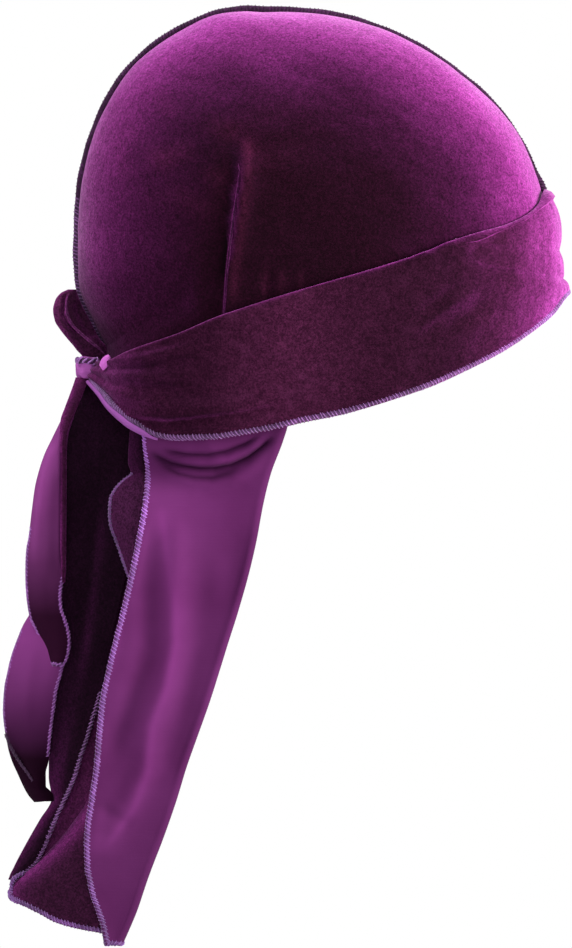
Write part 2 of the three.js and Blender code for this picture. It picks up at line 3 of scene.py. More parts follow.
import bpy
import numpy as np
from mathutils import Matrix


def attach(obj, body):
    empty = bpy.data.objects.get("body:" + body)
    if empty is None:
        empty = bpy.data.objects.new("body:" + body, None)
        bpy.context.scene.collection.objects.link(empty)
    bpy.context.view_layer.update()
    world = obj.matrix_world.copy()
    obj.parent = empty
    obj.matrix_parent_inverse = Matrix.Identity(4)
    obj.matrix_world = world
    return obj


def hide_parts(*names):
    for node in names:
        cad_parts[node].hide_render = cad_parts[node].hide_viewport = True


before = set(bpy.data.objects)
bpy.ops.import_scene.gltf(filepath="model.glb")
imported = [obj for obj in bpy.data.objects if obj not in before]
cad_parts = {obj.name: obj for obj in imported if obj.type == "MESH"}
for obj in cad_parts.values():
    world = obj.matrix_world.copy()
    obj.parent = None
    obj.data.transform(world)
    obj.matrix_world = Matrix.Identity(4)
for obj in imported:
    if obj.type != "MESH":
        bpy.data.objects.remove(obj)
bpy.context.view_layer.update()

# ---- driving dimensions, millimetres, the same as the CAD model's -------------
CX, CZ = 10.5, -90.0
HALF_WIDTH, POWER = 78.0, 2.3
WALL = 1.5
SEAM_HALF = 1.25
DART_U = 0.48
FLAP_FOLD = 2.2
TAIL_TOP = -154.6
STITCH = 1.55            # spacing of the overlock stitches
PITCH = 0.42             # millimetres to one unit of the side-view drawing grid
GX, GZ = 275.0, 15.7     # where the origin lies on that grid
TAU = 2 * math.pi

# ---- tables -------------------------------------------------------------------
HEAD = dict(
    deg=[-146, -141, -135, -125, -110, -90, -70, -50, -35, -25, -17, -13.2, -10.9, -7.3, -4.5, -2, 1, 4, 9, 15, 22, 30, 38, 45, 60, 75, 90, 99, 105, 112, 120, 128, 135, 143, 150, 165, 180, 188, 196, 204, 211],
    r=[98, 107, 118, 134, 148, 152, 144, 130, 119.5, 115, 112.2, 112.3, 109.4, 108, 106, 106.6, 106.1, 105.2, 102.7, 101.4, 100, 97.9, 95.7, 93.9, 91.5, 90.7, 91.4, 92.9, 95.3, 97, 97.4, 98.2, 98.1, 97.2, 96.1, 93.8, 92.9, 93.9, 95.3, 94.7, 94.9],
)
BAND_TOP = dict(
    x=[-78.5, -73.5, -69.7, -60.9, -49.6, -39.1, -25.2, -8.4, 10.5, 27.7, 44.9, 62.2, 74.3, 83.6, 94.5, 102.1, 106.7, 109.6, 111.7, 114.7, 118],
    z=[-146.3, -145.4, -145, -141.7, -137.5, -133.7, -127.4, -121.5, -115.6, -110.6, -105.5, -99.7, -94.6, -91.7, -88.7, -85.4, -82.4, -79.1, -73.6, -70.7, -69],
)
BAND_BOTTOM = dict(
    x=[-78.5, -74.3, -66.4, -57.1, -49.6, -39.1, -25.2, -14.7, -3.8, 10.5, 27.7, 44.9, 62.2, 83.6, 96.2, 105, 112.6, 117.6, 122.2, 124.7],
    z=[-153.8, -158.9, -166.4, -172.7, -175.7, -177.4, -176.9, -175.3, -173.6, -170.2, -166.7, -161.6, -155.5, -145.7, -138.3, -132, -125.7, -118.6, -114.4, -113.1],
)
RIM = dict(
    x=[-78.5, -71.8, -60.9, -49.6, -39.1, -25.2, -8.4, 10.5, 27.7, 44.9, 62.2, 83.6, 102.1, 111.3, 118],
    z=[-150.5, -151.3, -151.3, -149.6, -147.1, -142.1, -136.6, -130.7, -125.7, -120.7, -114.8, -106, -97.6, -90, -86.6],
)
PAIR = dict(
    u=[0, 0.1, 0.25, 0.48, 0.62, 0.8, 1],
    seam=[9, 29, 59, 106, 135, 171, 211],
    azimuth=[0, 26, 64, 111, 132, 157, 180],
)
LOOP = dict(
    z=[-115, -116.5, -119.4, -123.6, -128.2, -132, -135.8, -138.7, -140.8, -142.8, -145.9],
    x0=[-86.9, -89.9, -92.2, -93.2, -92.4, -90.1, -87.1, -84.6, -83, -81.1, -80.2],
    x1=[-83.4, -83, -81.9, -80, -77.5, -75.6, -73.5, -70.8, -69.9, -69.5, -69.7],
)
FOLD = dict(
    z=[-173.6, -178.2, -187.4, -192.5, -195.4, -198.8, -203, -208.9, -213.5, -219.4, -225.2, -233.6, -238.7],
    x0=[-60.1, -60.5, -60.9, -59.6, -63.4, -66.8, -68.9, -69.3, -68.9, -66.8, -64.7, -61.7, -59.6],
    x1=[-52.5, -52.5, -52.5, -52.1, -51.7, -51.7, -52.1, -52.5, -52.9, -53.3, -53.8, -54.2, -54.2],
    y0=[-34, -34, -34, -33, -32, -30, -28, -27, -27, -28, -30, -32, -34],
    y1=[-41, -41.5, -42, -42.5, -43, -43, -43, -42, -42, -41, -41, -40, -39],
)
CAPE = dict(
    z=[-161.4, -171.9, -178.2, -192.5, -205.1, -220.2, -233.6, -250.9, -262.2, -273.5, -287.4, -302.9, -315.1, -328.6, -340.3, -348.7, -353.3, -358, -363, -365.1, -367.2, -375.2, -381.5, -389.9],
    xFree=[-55.4, -55.2, -55, -53.8, -55, -57.8, -60.5, -64.4, -67.4, -70.1, -73, -74.6, -75.6, -77.7, -79.4, -79.8, -79.6, -79.4, -78.4, -78, -77.6, -74.8, -72.7, -71],
    xFold=[5.5, 4.6, 2.8, -2.5, -5.6, -8.4, -11.5, -16.4, -20, -23.5, -27.9, -33.4, -37.7, -41.8, -45.8, -48.9, -50.7, -52.5, -54.3, -55, -55.7, -58.4, -61, -64.7],
    xBack=[-59.6, -55.8, -54.2, -53.5, -54.3, -56.7, -59.4, -63.1, -65.9, -68.2, -71, -73.5, -75.7, -78.5, -85.7, -92.6, -97.2, -102.5, -108.4, -110.5, -111.4, -111.5, -111.5, -111.5],
    side=[58, 56.8, 56, 53.2, 50.7, 48.2, 46, 43.1, 41.2, 39.3, 37, 34.4, 32.4, 30.1, 28.3, 26.9, 26.2, 25.6, 25, 24.8, 24.6, 23.7, 23, 22],
)
TAIL_A = dict(
    z=[-154.4, -161.4, -168.1, -177.4, -184.5, -192.1, -198.4, -207.2, -217.7, -226.1, -234.9, -243.3, -247.9, -253, -258, -262.2, -266.4, -269.8, -272.7],
    x0=[-83.2, -86.1, -88.4, -92.8, -96.2, -98.7, -100.2, -101.4, -102.7, -104.1, -104.3, -103.9, -103.3, -102.3, -100, -98.3, -96.6, -95.1, -93.2],
    x1=[-80.2, -82.7, -84.8, -87.4, -87.8, -88, -88.2, -88.2, -88.2, -88.2, -88.6, -89.7, -89.5, -88, -86.5, -85.9, -86.3, -87.4, -89.5],
    y0=[-7, -10, -12, -13, -13, -13, -13, -13, -13, -13, -13, -13, -13, -13, -13, -13, -13, -13, -13],
    y1=[-8, -11, -13, -15, -16, -16, -16, -16, -16, -16, -16, -16, -16, -16, -16, -16, -15, -15, -14],
)
TAIL_B = dict(
    z=[-245.4, -250.9, -256.3, -262.2, -268.5, -274.4, -283.6, -292, -300, -307.1, -312.6, -318.1, -323.5, -326.9, -329.8],
    x0=[-98.7, -102.1, -105.4, -107.9, -110.2, -111.7, -113.4, -113.8, -113, -111.7, -110, -107.5, -105, -103.1, -100.6],
    x1=[-91.1, -90.3, -89.5, -88.6, -88.2, -89.2, -91.6, -92.8, -93.9, -94.7, -95.3, -96.6, -96.6, -93.7, -93.2],
    y0=[-9.5, -9.5, -9.5, -9.5, -9.5, -9.5, -9.5, -9.5, -9.5, -9.5, -9.5, -9.5, -9.5, -9, -9],
    y1=[-12, -12, -12, -12, -12, -12, -12, -12, -12, -12, -11.5, -11, -10.5, -9.5, -9],
)
TAIL_VEIL = dict(
    z=[-152.2, -155.5, -159.7, -164.8, -169.8, -174, -177.4, -186.6, -203.4, -220.2, -230.7, -237.8],
    x0=[-83.4, -84.4, -85.9, -87.8, -89.5, -89.9, -89.9, -89.8, -89.8, -89.8, -89.6, -89.3],
    x1=[-77.7, -79.4, -81.1, -83.2, -85.3, -86.9, -87.5, -87.7, -87.8, -87.9, -88, -88.5],
    y0=[-7.5, -9.5, -11.4, -13.2, -14.6, -15.6, -15.8, -15.8, -15.8, -15.8, -15.6, -15],
    y1=[-8.5, -10.5, -12.6, -14.6, -16.2, -17, -17.2, -17.2, -17.2, -17.2, -16.8, -16],
)
TAIL_NEAR = dict(
    z=[-152.2, -158, -161.4, -168.1, -173.2, -178.2, -195, -211.8, -228.6, -245.4, -262.2, -279, -285.3, -294.5, -303.4, -310.5, -319.3, -328.6, -337.8, -344.5, -350.4, -355, -358.4, -360.9, -362.8],
    x0=[-82.7, -84.8, -86.1, -87.8, -88.2, -88.6, -89, -89.5, -89.5, -89.5, -88.6, -90.3, -91.6, -92.8, -94.1, -94.5, -94.5, -93.2, -98.3, -102.1, -105.4, -107.9, -109.6, -110.9, -111.6],
    x1=[-73.9, -71.8, -68.9, -62.6, -58, -57.1, -56.3, -58, -61.3, -64.7, -68.5, -71.8, -73.1, -75.8, -78.3, -80.8, -83.6, -87.4, -91.8, -94.9, -97.4, -99.8, -103.3, -106.7, -109.6],
    y0=[0, -1, -2, -4, -5, -5, -6, -6, -6, -6, -6, -6, -6, -6, -6, -6, -6, -6, -6, -6, -6, -6, -6, -6, -6],
    y1=[-3, -5, -7, -10, -12, -13, -14, -14, -14, -14, -14, -14, -14, -14, -14, -14, -14, -13, -11, -10, -9, -9, -8, -8, -7],
)
TAIL_FAR = dict(
    z=[-161.4, -169.8, -178.2, -195, -211.8, -228.6, -245.4, -262.2, -279, -294.5, -310.5, -319.3, -328.6, -337.8, -346.2, -352.5, -357.1, -360.9, -362.8],
    x0=[-84.4, -86.1, -86.9, -87.4, -87.4, -87.8, -87.8, -87.4, -88.6, -91.1, -92.8, -93.2, -92.8, -97, -101.2, -105.4, -108.4, -110.5, -111.3],
    x1=[-68.5, -59.2, -53.8, -54.2, -56.3, -58, -62.2, -65.5, -68.9, -72.2, -74.8, -76, -77.7, -82.3, -89.5, -95.8, -100.4, -105, -109.2],
    y0=[2, 1, -1, -2, -2, -2, -2, -2, -2, -2, -2, -2, -2, -2, -2, -2, -3, -3, -3],
    y1=[-3, -7, -9, -9, -9, -9, -9, -9, -9, -9, -9, -9, -9, -8, -7, -6, -5, -5, -4],
)

HEM = dict(along=[0, 1, 1.1, 1.15, 1.25, 1.4, 1.55, 1.7, 1.85, 2, 2.3, 3], z=[-389.9, -389.9, -387.4, -384.9, -383.2, -380.5, -376.3, -373.3, -371.4, -369.2, -372.3, -381.3])


# ---- curves and the head form ---------------------------------------------------
def curve(table, key, col):
    k = np.array(table[key], float)
    v = np.array(table[col], float)
    o = np.argsort(k)
    k, v = k[o], v[o]
    s = np.diff(v) / np.diff(k)
    m = np.zeros_like(v)
    m[0], m[-1] = s[0], s[-1]
    for i in range(1, len(v) - 1):
        m[i] = 0 if s[i - 1] * s[i] <= 0 else 2 * s[i - 1] * s[i] / (s[i - 1] + s[i])

    def f(x):
        x = np.clip(np.asarray(x, float), k[0], k[-1])
        i = np.clip(np.searchsorted(k, x, side="right") - 1, 0, len(k) - 2)
        h = k[i + 1] - k[i]
        t = (x - k[i]) / h
        t2, t3 = t * t, t * t * t
        return v[i] * (2 * t3 - 3 * t2 + 1) + m[i] * h * (t3 - 2 * t2 + t) + v[i + 1] * (3 * t2 - 2 * t3) + m[i + 1] * h * (t3 - t2)

    return f


def smooth(a, b, v):
    t = np.clip((np.asarray(v, float) - a) / (b - a), 0, 1)
    return t * t * (3 - 2 * t)


def mix(a, b, t):
    return a + (b - a) * t


radius_at = curve(HEAD, "deg", "r")


def head_radius(dx, dz):
    deg = np.degrees(np.arctan2(dz, dx))
    deg = np.where(deg < -146, deg + 360, deg)
    back = mix(radius_at(211.0), radius_at(-146.0), (deg - 211) / 3)
    return np.where(deg > 211, back, radius_at(deg))


def form(p):
    dx, dz = p[..., 0] - CX, p[..., 2] - CZ
    return (np.hypot(dx, dz) / head_radius(dx, dz)) ** POWER + (np.abs(p[..., 1]) / HALF_WIDTH) ** POWER


def form_normal(p):
    g = np.empty_like(p)
    for a in range(3):
        e = np.zeros(3)
        e[a] = 1.2
        g[..., a] = form(p + e) - form(p - e)
    return g / np.linalg.norm(g, axis=-1, keepdims=True)


def on_form(d):
    c = np.array([CX, 0, CZ])
    s = form(d + c) ** (-1 / POWER)
    return c + d * s[..., None]


def on_line(az, line):
    """Points of the head form at azimuths az where the side-view line(x) crosses it."""
    az = np.asarray(az, float)
    lo, hi = np.full(az.shape, 5.0), np.full(az.shape, 140.0)
    for _ in range(40):
        r = (lo + hi) / 2
        x = CX + r * np.cos(az)
        p = np.stack([x, -r * np.sin(az), line(x)], -1)
        inside = form(p) < 1
        lo, hi = np.where(inside, r, lo), np.where(inside, hi, r)
    x = CX + lo * np.cos(az)
    return np.stack([x, -lo * np.sin(az), line(x)], -1)


def grid_xy(p):
    """Side-view drawing grid coordinates of points: across and down."""
    return p[..., 0] / PITCH + GX, GZ - p[..., 2] / PITCH


def ripple(p, scale, seed, terms=14):
    """Smooth seeded noise of about unit height over points, with features about scale mm wide."""
    rng = np.random.default_rng(seed)
    d = rng.normal(size=(terms, 3))
    d /= np.linalg.norm(d, axis=1, keepdims=True)
    f = TAU / (scale * rng.uniform(0.7, 1.9, terms))
    ph = rng.uniform(0, TAU, terms)
    out = np.zeros(p.shape[:-1])
    for i in range(terms):
        out += np.sin((p @ d[i]) * f[i] + ph[i])
    return out / math.sqrt(terms / 2)


def along_line(gx, gy, pts):
    """Nearest distance to a side-view polyline, its side (positive to the right walking down it) and place 0..1 along it."""
    pts = np.asarray(pts, float)
    seg = pts[1:] - pts[:-1]
    ln = np.hypot(seg[:, 0], seg[:, 1])
    cum = np.concatenate([[0], np.cumsum(ln)])
    best = np.full(gx.shape, 1e9)
    side = np.zeros(gx.shape)
    place = np.zeros(gx.shape)
    for i in range(len(seg)):
        t = np.clip(((gx - pts[i, 0]) * seg[i, 0] + (gy - pts[i, 1]) * seg[i, 1]) / ln[i] ** 2, 0, 1)
        dx, dy = gx - pts[i, 0] - t * seg[i, 0], gy - pts[i, 1] - t * seg[i, 1]
        d = np.hypot(dx, dy)
        s = np.sign(dx * seg[i, 1] - dy * seg[i, 0])
        near = d < best
        best = np.where(near, d, best)
        side = np.where(near, s, side)
        place = np.where(near, (cum[i] + t * ln[i]) / cum[-1], place)
    return best * PITCH, side, place


def crease(gx, gy, pts, height, width, ends=0.25):
    """A ridge (or groove, if negative) along a polyline, fading at both ends. Width and height in mm."""
    d, _, t = along_line(gx, gy, pts)
    fade = smooth(0, ends, t) * (1 - smooth(1 - ends, 1, t)) if ends > 0 else 1.0
    return height * np.exp(-(d / width) ** 2) * fade


def layer_step(gx, gy, pts, height, reach, ends=0.2, sharp=0.35, under=0.0, under_reach=5.0):
    """An overlapping fold: the side to the right of the polyline stands proud and settles over reach mm."""
    d, s, t = along_line(gx, gy, pts)
    sd = d * s
    up = smooth(-sharp, sharp, sd) * np.exp(-np.maximum(sd, 0) / reach)
    dn = (1 - smooth(-sharp, sharp, sd)) * np.exp(-np.maximum(-sd, 0) / under_reach)
    fade = smooth(0, ends, t) * (1 - smooth(1 - ends * 0.35, 1, t) * 0)
    past = smooth(1.0, 0.985, t) * 0 + 1
    return (height * up - under * dn) * fade * past


# ---- materials ------------------------------------------------------------------
def node_tree(name):
    m = bpy.data.materials.new(name)
    m.use_nodes = True
    nt = m.node_tree
    return m, nt, nt.nodes["Principled BSDF"]


def noise(nt, scale, detail, rough=0.5):
    n = nt.nodes.new("ShaderNodeTexNoise")
    n.inputs["Scale"].default_value = scale
    n.inputs["Detail"].default_value = detail
    n.inputs["Roughness"].default_value = rough
    tc = nt.nodes.get("place") or nt.nodes.new("ShaderNodeTexCoord")
    tc.name = "place"
    nt.links.new(tc.outputs["Object"], n.inputs["Vector"])
    return n.outputs["Fac"]


def ranged(nt, value, a, b, lo, hi):
    n = nt.nodes.new("ShaderNodeMapRange")
    for k, v in zip(("From Min", "From Max", "To Min", "To Max"), (a, b, lo, hi)):
        n.inputs[k].default_value = v
    nt.links.new(value, n.inputs["Value"])
    return n.outputs["Result"]


def calc(nt, op, a, b):
    n = nt.nodes.new("ShaderNodeMath")
    n.operation = op
    for i, v in enumerate((a, b)):
        if isinstance(v, (int, float)):
            n.inputs[i].default_value = v
        else:
            nt.links.new(v, n.inputs[i])
    return n.outputs[0]


def place(nt, axis):
    """Place along an axis of the object, in metres."""
    sep = nt.nodes.get("axes")
    if sep is None:
        sep = nt.nodes.new("ShaderNodeSeparateXYZ")
        sep.name = "axes"
        tc = nt.nodes.get("place") or nt.nodes.new("ShaderNodeTexCoord")
        tc.name = "place"
        nt.links.new(tc.outputs["Object"], sep.inputs[0])
    return sep.outputs["XYZ".index(axis)]


def blend(nt, fac, a, b, mode="MIX"):
    n = nt.nodes.new("ShaderNodeMix")
    n.data_type = "RGBA"
    n.blend_type = mode
    for k, v in (("Factor", fac), ("A", a), ("B", b)):
        if isinstance(v, tuple):
            n.inputs[k].default_value = (*v, 1)
        elif isinstance(v, (int, float)):
            n.inputs[k].default_value = v
        else:
            nt.links.new(v, n.inputs[k])
    return n.outputs["Result"]


def profile(nt, axis, lo, hi, stops):
    """A value that runs along an axis of the object: stops are (place 0..1 between lo and hi, value 0..1)."""
    r = nt.nodes.new("ShaderNodeValToRGB")
    e = r.color_ramp.elements
    while len(e) < len(stops):
        e.new(0.5)
    for el, (at, v) in zip(e, stops):
        el.position = at
        el.color = (v, v, v, 1)
    nt.links.new(ranged(nt, place(nt, axis), lo, hi, 0.0, 1.0), r.inputs["Fac"])
    return r.outputs["Color"]


def velvet(name, base, light, pile=(0.55, 0.052, 0.460), rim=0.88, power=1.5, mottle=0.25, fade=None, painted_light_and_shade=None, brushed_and_painted_highlight=None, blush=0.32, pale=None, lay=None):
    """Deep pile: nearly black where it is looked into, magenta where it is seen aslant, with a fine speckle.
    fade = (axis, from, to, least) weakens the aslant pile light towards one end, painted shade; painted_light_and_shade
    = profile() values that multiply its colour, painted light and shade.
    brushed_and_painted_highlight = its colour where the mesh value nap_and_painted_light is above 0, painted highlight
    and brush marks of the pile; below 0 it runs into near black, painted shadow;
    pale = its colour where it is seen edge-on; lay = profile() values that weaken the aslant pile light, painted shade."""
    m, nt, b = node_tree(name)
    N, L = nt.nodes, nt.links
    fine = noise(nt, 1150, 3, 0.8)
    speck = ranged(nt, fine, 0.30, 0.70, 0.25, 1.75)
    crush = ranged(nt, noise(nt, 380, 3, 0.7), 0.30, 0.70, 1 - mottle, 1 + mottle)
    patch = ranged(nt, noise(nt, 24, 4), 0.3, 0.7, 0.86, 1.14)
    vary = calc(nt, "MULTIPLY", calc(nt, "MULTIPLY", speck, crush), patch)
    ramp = N.new("ShaderNodeValToRGB")
    ramp.color_ramp.elements[0].position = 0.30
    ramp.color_ramp.elements[0].color = (*base, 1)
    ramp.color_ramp.elements[1].position = 1.0
    ramp.color_ramp.elements[1].color = (*light, 1)
    L.new(calc(nt, "MULTIPLY", vary, 0.55), ramp.inputs["Fac"])
    col = ramp.outputs["Color"]
    # painted highlight where the mesh map is above 0, painted shadow in near black where it is below 0; on the band the
    # paler part is also brush marks
    if brushed_and_painted_highlight:
        at = N.new("ShaderNodeAttribute")
        at.attribute_name = "nap_and_painted_light"
        col = blend(nt, calc(nt, "MULTIPLY", calc(nt, "MAXIMUM", at.outputs["Fac"], 0.0), vary), col, brushed_and_painted_highlight)
        col = blend(nt, calc(nt, "MAXIMUM", calc(nt, "MULTIPLY", at.outputs["Fac"], -1.0), 0.0), col, (0.0035, 0.0012, 0.0026))
    # painted light and shade along one axis of the object
    if painted_light_and_shade:
        col = blend(nt, 1.0, col, profile(nt, *painted_light_and_shade), "MULTIPLY")
    L.new(col, b.inputs["Base Color"])
    b.inputs["Roughness"].default_value = 0.9
    b.inputs["Specular IOR Level"].default_value = 0.03
    bump = N.new("ShaderNodeBump")
    bump.inputs["Strength"].default_value = 0.5
    bump.inputs["Distance"].default_value = 0.0004
    L.new(fine, bump.inputs["Height"])
    L.new(bump.outputs["Normal"], b.inputs["Normal"])
    lw = N.new("ShaderNodeLayerWeight")
    lw.inputs["Blend"].default_value = 0.5
    amt = calc(nt, "POWER", lw.outputs["Facing"], power)
    amt = calc(nt, "MULTIPLY", amt, rim)
    amt = calc(nt, "MULTIPLY", amt, vary)
    # painted shade: the aslant pile light is weakened along one axis
    if fade:
        amt = calc(nt, "MULTIPLY", amt, ranged(nt, place(nt, fade[0]), fade[1], fade[2], fade[3], 1.0))
    if lay:
        amt = calc(nt, "MULTIPLY", amt, profile(nt, *lay))
    amt = calc(nt, "MINIMUM", amt, 0.96)
    nap_and_painted_light = N.new("ShaderNodeBsdfPrincipled")
    nap_and_painted_light.inputs["Base Color"].default_value = (*pile, 1)
    if pale:
        base_pile = N.new("ShaderNodeRGB")
        base_pile.outputs[0].default_value = (*pile, 1)
        L.new(blend(nt, calc(nt, "POWER", lw.outputs["Facing"], 3.0), base_pile.outputs[0], pale), nap_and_painted_light.inputs["Base Color"])
    nap_and_painted_light.inputs["Roughness"].default_value = 0.85
    nap_and_painted_light.inputs["Specular IOR Level"].default_value = 0.05
    nap_and_painted_light.inputs["Sheen Weight"].default_value = blush
    nap_and_painted_light.inputs["Sheen Roughness"].default_value = 0.3
    nap_and_painted_light.inputs["Sheen Tint"].default_value = (0.95, 0.64, 0.95, 1)
    L.new(bump.outputs["Normal"], nap_and_painted_light.inputs["Normal"])
    mx = N.new("ShaderNodeMixShader")
    L.new(amt, mx.inputs["Fac"])
    L.new(b.outputs[0], mx.inputs[1])
    L.new(nap_and_painted_light.outputs[0], mx.inputs[2])
    L.new(mx.outputs[0], N["Material Output"].inputs["Surface"])
    return m


def satin(name, base, light, gloss=0.78, dim=None, painted_shades=(), lustre=1.0, painted_light_map=False):
    """The smooth knitted wrong side: fine wales and courses, soft lustre.
    dim = (axis, from, to, colour) lets it run into a darker colour towards one end, painted shade; painted_shades =
    profile() values, painted shade;
    painted_light_map = paler or deeper by the mesh value nap_and_painted_light: painted highlight where it is above 0,
    painted shade where it is below 0."""
    m, nt, b = node_tree(name)
    N, L = nt.nodes, nt.links
    ramp = N.new("ShaderNodeValToRGB")
    ramp.color_ramp.elements[0].position = 0.3
    ramp.color_ramp.elements[0].color = (*base, 1)
    ramp.color_ramp.elements[1].position = 0.72
    ramp.color_ramp.elements[1].color = (*light, 1)
    L.new(noise(nt, 30, 3), ramp.inputs["Fac"])
    wave = N.new("ShaderNodeTexWave")
    wave.wave_type = "BANDS"
    wave.bands_direction = "Z"
    wave.inputs["Scale"].default_value = 520
    wave.inputs["Distortion"].default_value = 2.5
    wave.inputs["Detail"].default_value = 2
    wave.inputs["Detail Scale"].default_value = 2.5
    place(nt, "X")
    L.new(N["place"].outputs["Object"], wave.inputs["Vector"])
    fine = noise(nt, 1300, 2)
    bump = N.new("ShaderNodeBump")
    bump.inputs["Strength"].default_value = 0.10
    bump.inputs["Distance"].default_value = 0.00025
    L.new(calc(nt, "ADD", wave.outputs["Fac"], fine), bump.inputs["Height"])
    L.new(bump.outputs["Normal"], b.inputs["Normal"])
    col = blend(nt, 0.035, ramp.outputs["Color"], wave.outputs["Color"], "MULTIPLY")
    # painted shade along one axis of the object
    for t in painted_shades:
        col = blend(nt, 1.0, col, profile(nt, *t), "MULTIPLY")
    # painted highlight where the mesh map is above 0, painted shade where it is below 0
    if painted_light_map:
        at = N.new("ShaderNodeAttribute")
        at.attribute_name = "nap_and_painted_light"
        col = blend(nt, 1.0, col, calc(nt, "ADD", at.outputs["Fac"], 1.0), "MULTIPLY")
    # painted shade: darker towards one end
    if dim:
        col = blend(nt, ranged(nt, place(nt, dim[0]), dim[1], dim[2], 0.0, 1.0), col, dim[3])
    L.new(col, b.inputs["Base Color"])
    b.inputs["Roughness"].default_value = gloss
    b.inputs["Specular IOR Level"].default_value = 0.08 * lustre
    b.inputs["Specular Tint"].default_value = (0.95, 0.36, 0.92, 1)
    b.inputs["Sheen Weight"].default_value = 0.05 * lustre
    b.inputs["Sheen Roughness"].default_value = 0.4
    b.inputs["Sheen Tint"].default_value = (0.9, 0.45, 0.9, 1)
    return m


def yarn(name, base, light, rough=0.55, sheen=0.3, painted_light_and_shade=None):
    m, nt, b = node_tree(name)
    N, L = nt.nodes, nt.links
    tc = N.new("ShaderNodeTexCoord")
    n = N.new("ShaderNodeTexNoise")
    n.inputs["Scale"].default_value = 900
    n.inputs["Detail"].default_value = 3
    L.new(tc.outputs["Object"], n.inputs["Vector"])
    ramp = N.new("ShaderNodeValToRGB")
    ramp.color_ramp.elements[0].position = 0.3
    ramp.color_ramp.elements[0].color = (*base, 1)
    ramp.color_ramp.elements[1].position = 0.7
    ramp.color_ramp.elements[1].color = (*light, 1)
    L.new(n.outputs["Fac"], ramp.inputs["Fac"])
    col = blend(nt, 1.0, ramp.outputs["Color"], ranged(nt, noise(nt, 85, 2), 0.3, 0.7, 0.62, 1.30), "MULTIPLY")
    # painted light and shade along one axis of the object
    if painted_light_and_shade:
        col = blend(nt, 1.0, col, profile(nt, *painted_light_and_shade), "MULTIPLY")
    L.new(col, b.inputs["Base Color"])
    b.inputs["Roughness"].default_value = rough
    b.inputs["Specular IOR Level"].default_value = 0.3
    b.inputs["Sheen Weight"].default_value = sheen
    b.inputs["Sheen Tint"].default_value = (0.9, 0.75, 1, 1)
    bump = N.new("ShaderNodeBump")
    bump.inputs["Strength"].default_value = 0.4
    bump.inputs["Distance"].default_value = 0.0002
    L.new(n.outputs["Fac"], bump.inputs["Height"])
    L.new(bump.outputs["Normal"], b.inputs["Normal"])
    return m


# crown velvet: its paler colour is the painted highlight beside the pleat and its near black the painted shadow at the
# lip; the aslant pile light is weakened on the lowest crown above the band and towards the back, painted shade
VELVET = velvet("velvet_plum", (0.0064, 0.0011, 0.0036), (0.022, 0.0028, 0.0120), fade=("Z", -0.132, -0.098, 0.15), brushed_and_painted_highlight=(0.062, 0.0080, 0.0300),
                pale=(0.53, 0.128, 0.49), rim=1.0,
                lay=("X", -0.084, 0.123, [(0.0, 0.46), (0.08, 0.53), (0.19, 0.74), (0.314, 0.88), (0.65, 0.88), (0.80, 1.0), (1.0, 1.0)]))
# band velvet: its colour is multiplied along the band by painted light and shade, and its aslant pile light is weakened
# towards the knot, painted shade; its paler colour is brush marks and painted highlight
VELVET_BAND = velvet("velvet_band", (0.0216, 0.0031, 0.0134), (0.074, 0.0120, 0.0456), rim=1.0, power=2.2, mottle=0.30, fade=("X", -0.085, 0.045, 0.16), brushed_and_painted_highlight=(0.105, 0.019, 0.070), pale=(0.53, 0.120, 0.49),
                     painted_light_and_shade=("X", -0.085, 0.125, [(0.0, 0.60), (0.115, 0.62), (0.195, 0.58), (0.275, 0.62), (0.355, 0.90), (0.435, 0.97), (0.515, 0.78), (0.595, 0.55), (0.675, 0.42), (0.755, 0.42), (0.835, 0.66), (0.915, 0.85)]))
# nearly black, with little aslant light, for the long tail that hangs in shadow between the short tail and the flap:
# painted shade
VELVET_PAINTED_SHADE = velvet("velvet_shade", (0.0050, 0.0014, 0.0042), (0.016, 0.0035, 0.013), rim=0.30, power=1.6)
VELVET_SHADE = velvet("velvet_dark", (0.0330, 0.0058, 0.0250), (0.110, 0.0170, 0.084), rim=0.4, power=1.5)
VELVET_FOLD = velvet("velvet_fold", (0.022, 0.0035, 0.015), (0.055, 0.0085, 0.040), rim=0.45, power=1.4, mottle=0.35)
# the half bow's velvet runs darker towards the crown side: painted shade in its hollow
VELVET_BOW = velvet("velvet_bow", (0.0310, 0.0062, 0.0230), (0.122, 0.0215, 0.0880), rim=0.4, power=1.8, painted_light_and_shade=("X", -0.0932, -0.0706, [(0.0, 1.0), (0.20, 1.0), (0.32, 0.45), (1.0, 0.45)]))
# the ruffle's velvet is darkest at its top under the flap's edge and darker towards its bottom: painted shade
VELVET_CURL = velvet("velvet_curl", (0.0200, 0.0046, 0.0160), (0.074, 0.0150, 0.0600), rim=0.12, power=1.6, painted_light_and_shade=("Z", -0.240, -0.170, [(0.0, 0.6), (0.30, 0.75), (0.52, 1.0), (0.62, 0.8), (0.69, 0.25), (1.0, 0.2)]))
# a paler copy of the crown velvet for the rolled lip of the pleat: a real fold, its paler colour a painted highlight
VELVET_LIP_PAINTED_HIGHLIGHT = velvet("velvet_lip_painted_highlight", (0.018, 0.0038, 0.015), (0.062, 0.0120, 0.053), rim=0.45, power=1.6)
# a paler copy of the bow velvet for the rolled inner fold of the half bow: a real fold, its paler colour a painted
# highlight
VELVET_BOW_LIP_PAINTED_HIGHLIGHT = velvet("velvet_bow_lip_painted_highlight", (0.040, 0.0090, 0.034), (0.150, 0.032, 0.130), rim=0.5, power=1.6)
VELVET_UNDER = velvet("velvet_under", (0.0150, 0.0030, 0.0110), (0.050, 0.0090, 0.036), rim=0.35, power=1.6)
